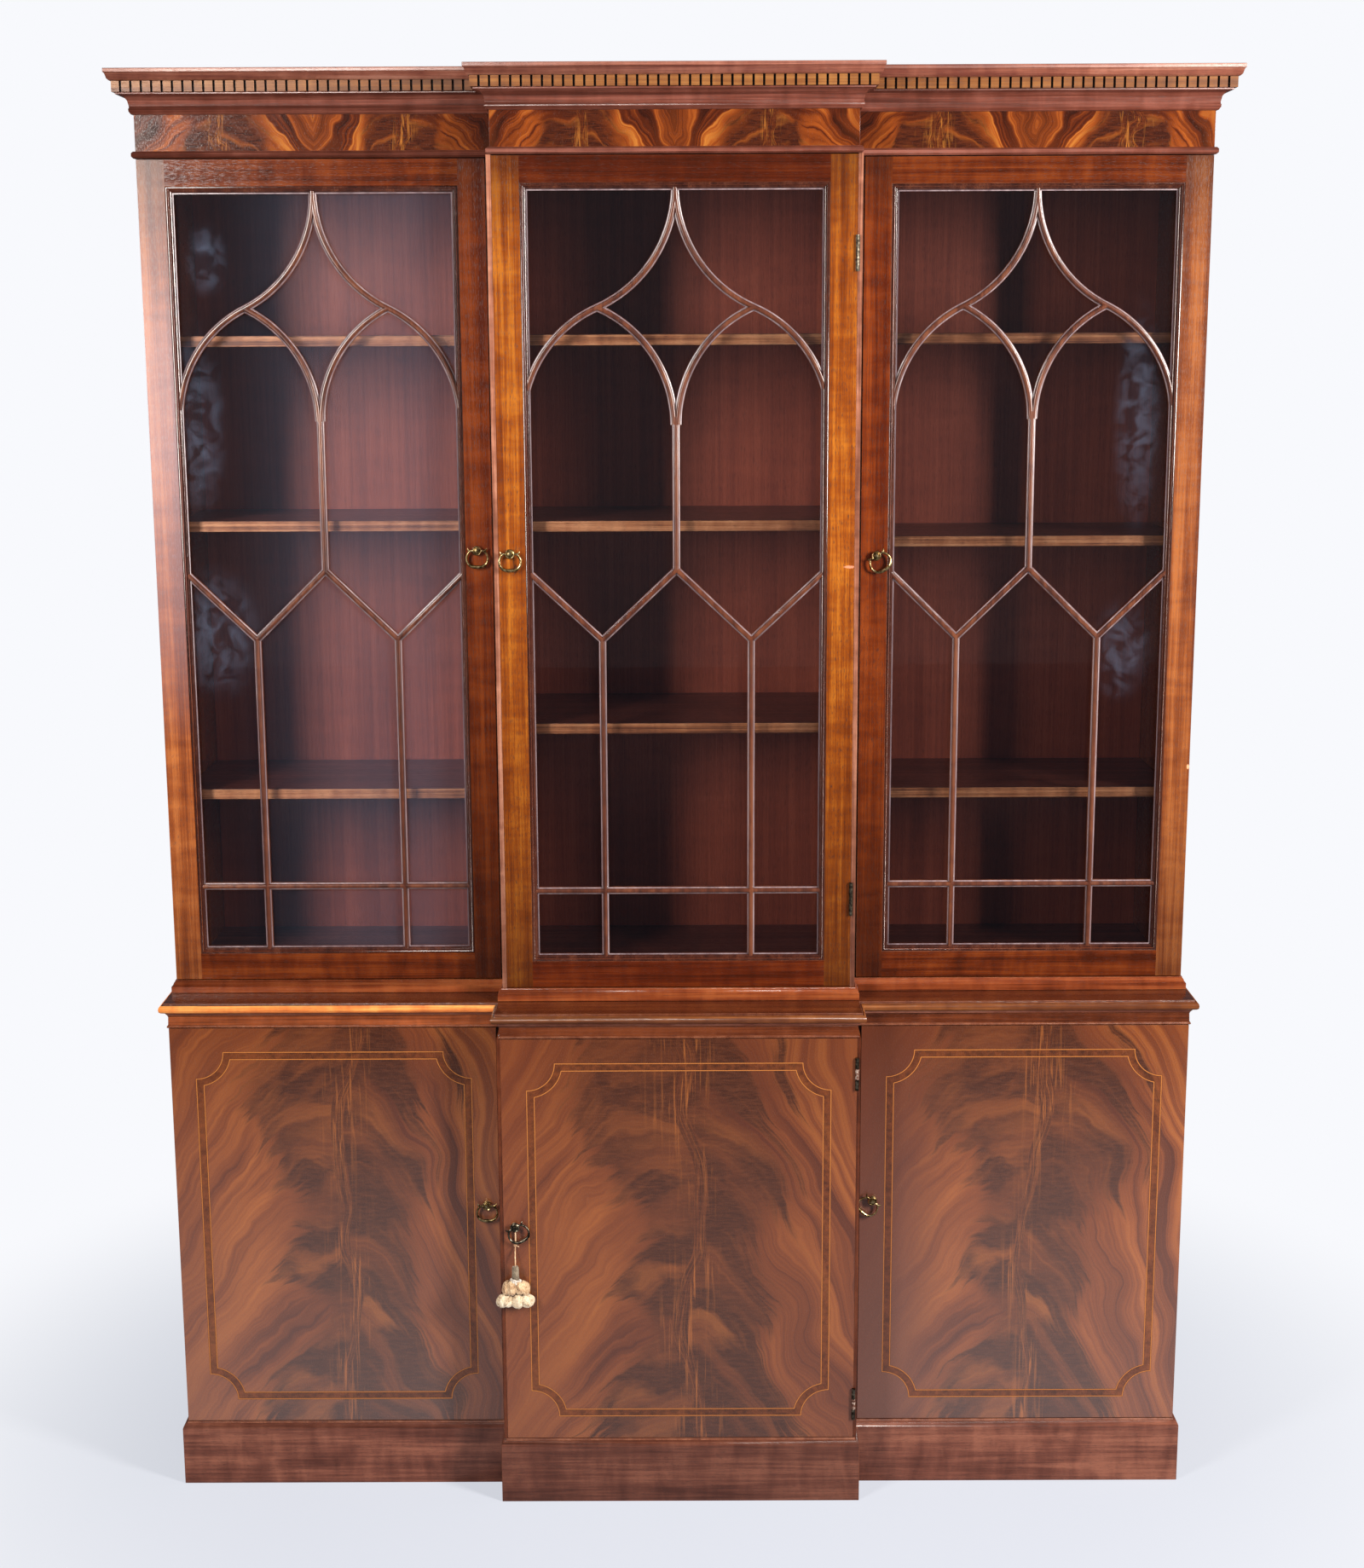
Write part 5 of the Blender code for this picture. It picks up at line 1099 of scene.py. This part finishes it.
for bay in bays:
    left, right, face = doorEdges("upper", bay)
    low, high = sizes["upper"]["doorLow"], sizes["upper"]["doorHigh"]
    bar = bars["centre" if bay == "centre" else "wing"]
    under = sight["width"] * bars["under"]
    window = (left + frameSizes["stile"] + under, right - frameSizes["stile"] - under,
              low + frameSizes["bottom"] + under, high - frameSizes["top"] - under)
    middle = (left + right) / 2
    half = (right - left) / 2 - frameSizes["stile"]
    veeTop, veeLow, veeOut = low + bar["veeTop"], low + bar["veeLow"], bar["veeOut"]
    paths = [[Vector((middle - half, veeTop)), Vector((middle - veeOut, veeLow)), Vector((middle, veeTop)),
              Vector((middle + veeOut, veeLow)), Vector((middle + half, veeTop))],
             [Vector((middle - half, low + bar["cross"])), Vector((middle + half, low + bar["cross"]))],
             [Vector((middle, archPath(middle, 1, -1, high, bar)[-1].y + 2 * bars["half"])),
              Vector((middle, veeTop))]]
    for sign in (-1, 1):
        paths.append(ogeePath(middle, sign, high, bar))
        paths.append(archPath(middle, sign, -1, high, bar))
        paths.append([Vector((middle + sign * veeOut, veeLow)), Vector((middle + sign * veeOut, low))])
    piece = joined("tracery_%s_beaded" % bay, [glazingBar(path, face, window) for path in paths])
    filleted(piece, face + bars["setback"] + bars["fillet"] * bars["depth"], "bar")
    fit(piece, "upper_%s_door" % bay, None, ["tracery_" + bay])
print("stage: glazed doors")

# Cupboard doors: flame veneer on the face, plain inside, painted shade on the edges
cupboard = {"eased": 0.0006, "smooth": 28, "facing": 0.5}
for bay in bays:
    left, right, face = doorEdges("lower", bay)
    brassFrom, brassBefore = sizes["lower"]["half"] + bench["proud"], face - bench["proud"]

    def doorWood(spot, normal):
        if abs(spot.x) > brassFrom or (bay == "centre" and spot.y < brassBefore):
            return "brownBrass"
        if normal.y < -cupboard["facing"]:
            return "veneer_" + bay
        return "side" if normal.y > cupboard["facing"] else "cupboardEdgeShade"
    dress("cupboard_door_" + bay, "lower_%s_door" % bay, doorWood,
          ["veneer_" + bay, "side", "cupboardEdgeShade", "brownBrass"], cupboard["eased"], cupboard["smooth"])

# Cornice: levels of the frieze's foot and head and of the crown. Behind the depth named back, only faces
# turned to the side by more than the share named ends look outwards
cornice = {"friezeLow": 2.0202, "friezeHigh": 2.0700, "crown": 2.1135, "back": 0.12, "ends": 0.12,
           "eased": 0.0004, "smooth": 40}


def corniceWood(spot, normal):
    # Veneer and the paler crown only on faces that look outwards
    inward = normal.y > 0.5 or normal.x * spot.x < -0.1
    behind = spot.y > cornice["back"] and abs(normal.x) < cornice["ends"]
    if inward or behind:
        return "moulding"
    if cornice["friezeLow"] < spot.z < cornice["friezeHigh"] and abs(normal.z) < 0.3:
        return "frieze"
    return "crown" if spot.z > cornice["crown"] else "moulding"


dress("cornice", "case", corniceWood, ["frieze", "crown", "moulding"], cornice["eased"],
      cornice["smooth"], "moulding")

# Waist: the levels above which its ledge, torus and bead lie
waist = {"ledge": 0.7770, "torus": 0.7655, "bead": 0.7597, "eased": 0.0004, "smooth": 40}


def waistWood(spot, normal):
    # The left wing's torus and fascia take lit copies of their woods: painted light
    left = spot.x < -sizes["lower"]["wingInner"]
    if spot.z > waist["ledge"] or normal.z < -0.9:
        return "ledge"
    if spot.z > waist["torus"]:
        return "leftTorusLit" if left else "torus"
    if spot.z > waist["bead"]:
        return "crown"
    return "leftFasciaLit" if left else "fascia"


dress("waist_board", "case", waistWood,
      ["ledge", "torus", "crown", "fascia", "leftTorusLit", "leftFasciaLit"], waist["eased"], waist["smooth"])
# Plinth: its wings are a little paler
plinth = {"eased": 0.0007, "smooth": 30}
dress("plinth", "case",
      lambda spot, normal: "wingPlinth" if abs(spot.x) > sizes["lower"]["wingInner"] else "plinth",
      ["plinth", "wingPlinth"], plinth["eased"], plinth["smooth"])
# Base of the upper case: its inner floor lies above the moulding round it
base = {"floor": 0.805, "eased": 0.0004, "smooth": 40}
dress("upper_bottom_board", "case",
      lambda spot, normal: "shelf" if normal.z > 0.7 and spot.z > base["floor"] else "base",
      ["shelf", "base"], base["eased"], base["smooth"])

# Dentil course: golden teeth over a ground painted dark as shade, told apart by the planes of the teeth
dentils = {"front": (-0.1025, -0.1525), "side": (0.790, 0.283), "near": 0.0004}


def dentilWood(spot, normal):
    away = 0
    if normal.y < -0.9:
        away = min(abs(spot.y - plane) for plane in dentils["front"])
    elif abs(normal.x) > 0.9:
        away = min(abs(abs(spot.x) - plane) for plane in dentils["side"])
    return "dentil" if away < dentils["near"] else "dentilShade"


dress("dentil_course", "case", dentilWood, ["dentil", "dentilShade"])

# Sides and bay panels: mahogany boards with the brass leaves and knuckles of the hinges
boards = {"smooth": 28, "facing": 0.5}
for kind in ("side", "partition"):
    for level in ("lower", "upper"):
        brassFrom = sizes[level]["half"] + bench["proud"]
        brassBefore = sizes[level]["centre"] - bench["proud"]
        # Upper bay panels take a painted sheen; the edges of the lower ones, painted shade in the gaps
        board = "bayEdgeSheen" if (level, kind) == ("upper", "partition") else "side"
        edge = "cupboardEdgeShade" if (level, kind) == ("lower", "partition") else board

        def boardWood(spot, normal):
            if abs(spot.x) > brassFrom or spot.y < brassBefore:
                return "dullBrass"
            return edge if normal.y < -boards["facing"] or spot.y < sizes["lower"]["wing"] else board
        for hand in ("left", "right"):
            dress("%s_%s_%s" % (level, kind, hand), "case", boardWood, [board, edge, "dullBrass"],
                  smooth=boards["smooth"])
print("stage: doors, mouldings and sides")


def wear(node, look):
    # Puts a finish on a solid that keeps its own mesh
    for slotHere in nodes[node].material_slots:
        slotHere.link = "OBJECT"
        slotHere.material = look


for node, board in (("lower_bottom_board", "shelf"), ("lower_back_panel", "side"),
                    ("upper_top_board", "shelf")):
    wear(node, looks[board])
# The back of the upper case is of boards: the one at the left of the right bay is redder and paler, and
# painted paler still as light from the right
back = {"from": 0.2, "joint": 0.417}


def backWood(spot, normal):
    return "paleBoardLit" if back["from"] < spot.x < back["joint"] and normal.y < -0.5 else "inside"


dress("upper_back_panel", "case", backWood, ["inside", "paleBoardLit"], cuts=(back["joint"],))
# Shelves: painted pale along the front as lit
shelves = {"eased": 0.0008, "facing": 0.5}
for bay in bays:
    wear("lower_shelf_" + bay, looks["shelf"])
    for rank in ("low", "middle", "high"):
        dress("upper_shelf_%s_%s" % (bay, rank), "case",
              lambda spot, normal: "shelfEdgeLit" if normal.y < -shelves["facing"] else "shelf",
              ["shelfEdgeLit", "shelf"], shelves["eased"])

# Old drawn sheet glass. A veil, a painted bluish reflection, lies over the left pane alone: it grows between
# two places across and stops at its end. The real smudges share its bluish film. A smudge has its middle,
# half width and half height in metres
sheet = {"smearScale": 34.0, "smearDetail": 4.0, "smearTwist": 1.1, "smearRange": (0.40, 0.80),
         "smear": (0.004, 0.075), "veil": (-0.68, -0.45), "veilDeep": (0.002, 0.026), "veilEnd": -0.26,
         "haze": 0.002, "fade": (0.2, 1.0), "clear": "#f4f8fa", "film": "#9fb3d6", "rough": 0.02, "ior": 1.45,
         "ceiling": 0.82,
         "smudges": [(-0.700, 1.640, 0.050, 0.160), (-0.680, 1.330, 0.075, 0.110),
                     (-0.675, 1.870, 0.035, 0.060), (0.672, 1.640, 0.040, 0.190),
                     (0.660, 1.300, 0.050, 0.090)]}


def glassLook():
    # Old drawn sheet glass, a little smeared: lets lamps through and mirrors at a slant
    look, tree, place = newLook("old_sheet_glass")
    smear = add(tree, "ShaderNodeTexNoise", {"Vector": place, "Scale": sheet["smearScale"],
                                             "Detail": sheet["smearDetail"],
                                             "Distortion": sheet["smearTwist"]})
    (low, high), (least, most) = sheet["smearRange"], sheet["smear"]
    smear = add(tree, "ShaderNodeMapRange", {0: smear, 1: low, 2: high, 3: least, 4: most})
    across = add(tree, "ShaderNodeSeparateXYZ", {0: place}).node.outputs["X"]
    # The left pane's veil: a painted bluish reflection
    (low, high), (least, most) = sheet["veil"], sheet["veilDeep"]
    haze = add(tree, "ShaderNodeMapRange", {0: across, 1: low, 2: high, 3: least, 4: most},
               interpolation_type="SMOOTHSTEP")
    veiled = add(tree, "ShaderNodeMath", {0: across, 1: sheet["veilEnd"]}, operation="LESS_THAN")
    haze = add(tree, "ShaderNodeMath", {0: haze, 1: veiled, 2: sheet["haze"]}, operation="MULTIPLY_ADD")
    inner, outer = sheet["fade"]
    for smudge in sheet["smudges"]:
        far = ovalAt(tree, place, *smudge)
        here = add(tree, "ShaderNodeMapRange", {0: far, 1: inner, 2: outer, 3: 1.0, 4: 0.0},
                   interpolation_type="SMOOTHSTEP")
        haze = add(tree, "ShaderNodeMath", {0: here, 1: smear, 2: haze}, operation="MULTIPLY_ADD")
    clear = add(tree, "ShaderNodeBsdfTransparent", {"Color": sheet["clear"]})
    mirror = add(tree, "ShaderNodeBsdfGlossy", {"Color": "#ffffff", "Roughness": sheet["rough"]})
    film = add(tree, "ShaderNodeBsdfDiffuse", {"Color": sheet["film"]})
    share = add(tree, "ShaderNodeFresnel", {"IOR": sheet["ior"]})
    # The far side of a pane would turn back all light that comes at a slant, so its share has a ceiling
    share = add(tree, "ShaderNodeMath", {0: share, 1: sheet["ceiling"]}, operation="MINIMUM")
    pane = add(tree, "ShaderNodeMixShader", {0: share, 1: clear, 2: mirror})
    return close(look, add(tree, "ShaderNodeMixShader", {0: haze, 1: pane, 2: film}))


looks["glass"] = glassLook()
for bay in bays:
    wear("glass_" + bay, looks["glass"])
print("stage: boards, shelves and glass")

# Keys with drop bails: a dished boss with a raised middle, and a horned loop that swells to its foot; for
# each key its place across, its height and its turn in degrees
keys = {"upper": {"left": (-0.2925, 1.4525, 0.0), "centre": (-0.2408, 1.4520, 0.0),
                  "right": (0.2930, 1.4427, -32.0)},
        "lower": {"left": (-0.2939, 0.4575, 0.0), "centre": (-0.2473, 0.4467, -30.0),
                  "right": (0.2949, 0.4633, 40.0)},
        "rings": [(0.0022, -0.0145), (0.0022, 0.0003), (0.0049, 0.0004), (0.0053, 0.0008), (0.0049, 0.0011),
                  (0.0032, 0.0013), (0.0030, 0.0034), (0.0049, 0.0037), (0.0059, 0.0043), (0.0062, 0.0052),
                  (0.0062, 0.0067), (0.0058, 0.0077), (0.0050, 0.0082), (0.0044, 0.0079), (0.0040, 0.0073),
                  (0.0034, 0.0073), (0.0031, 0.0080), (0.0030, 0.0093), (0.0025, 0.0102), (0.0013, 0.0105)],
        "steps": 32, "smooth": 40, "round": 60, "broad": 1.15, "stand": 0.0065, "wire": 0.0016,
        "eye": 0.0018, "eyeSteps": (20, 12), "pinSteps": 16,
        "pin": (0.0009, 0.0128), "bit": (0.0020, 0.0050, 0.0085), "bitDepth": 0.01125,
        "bail": [(0.0064, 0.0), (0.0086, 0.0004), (0.0112, -0.0010), (0.0138, -0.0046), (0.0157, -0.0092),
                 (0.0156, -0.0144), (0.0134, -0.0192), (0.0098, -0.0224), (0.0050, -0.0238), (0.0, -0.0238)],
        "swell": [1.1, 1.0, 1.0, 1.0, 1.0, 1.05, 1.2, 1.4, 1.55, 1.6],
        "horn": [(0.0100, -0.0004), (0.0120, 0.0006), (0.0136, 0.0022), (0.0142, 0.0040)],
        "hornSwell": [1.0, 0.95, 0.7, 0.3]}
for level in ("upper", "lower"):
    for bay in bays:
        out, up, turn = keys[level][bay]
        face = doorEdges(level, bay)[2]
        tone = looks["dullBrass"] if (level, bay) == ("lower", "centre") else looks["brass"]
        boss = lathe("boss", keys["rings"], keys["steps"], 1.0, keys["smooth"])
        boss.scale = (keys["broad"], keys["broad"], 1)
        boss.rotation_euler = (math.radians(90), 0, 0)
        settle(boss)
        deselectAll()
        bpy.ops.mesh.primitive_cylinder_add(vertices=keys["pinSteps"], radius=keys["pin"][0],
                                            depth=keys["pin"][1],
                                            location=(0, -keys["stand"], 0),
                                            rotation=(0, math.radians(90), 0))
        pin = tidyShell(settle(named("pin")), keys["smooth"])
        deselectAll()
        bpy.ops.mesh.primitive_cube_add(size=1, location=(0, keys["bitDepth"], -keys["bit"][2] / 2))
        bit = named("bit")
        bit.scale = keys["bit"]
        settle(bit)
        shaped = joined("key_%s_%s_turned" % (level, bay), [pin, bit, boss])
        loopParts = []
        half = [(x, -keys["stand"], z) for x, z in keys["bail"]]
        wire = half + [(-x, y, z) for x, y, z in reversed(half[:-1])]
        loopParts.append(rod("wire", wire, keys["wire"], keys["swell"] + keys["swell"][-2::-1]))
        for sign in (-1, 1):
            horn = [(sign * x, -keys["stand"], z) for x, z in keys["horn"]]
            loopParts.append(rod("horn", horn, keys["wire"], keys["hornSwell"]))
            deselectAll()
            bpy.ops.mesh.primitive_uv_sphere_add(segments=keys["eyeSteps"][0],
                                                 ring_count=keys["eyeSteps"][1], radius=keys["eye"],
                                                 location=(sign * keys["bail"][0][0], -keys["stand"], 0))
            loopParts.append(tidyShell(settle(named("eye")), keys["round"]))
        swung = joined("bail_%s_%s_horned" % (level, bay), loopParts)
        for made, kind in ((shaped, "key"), (swung, "bail")):
            made.rotation_euler = (0, math.radians(turn), 0)
            made.location = (out, face, up)
            settle(made)
            fit(made, "%s_%s_%s" % (level, bay, kind), tone, ["%s_%s_%s" % (kind, level, bay)])
        wear("bolt_%s_%s" % (level, bay), looks["dullBrass"])
print("stage: keys, bails and bolts")
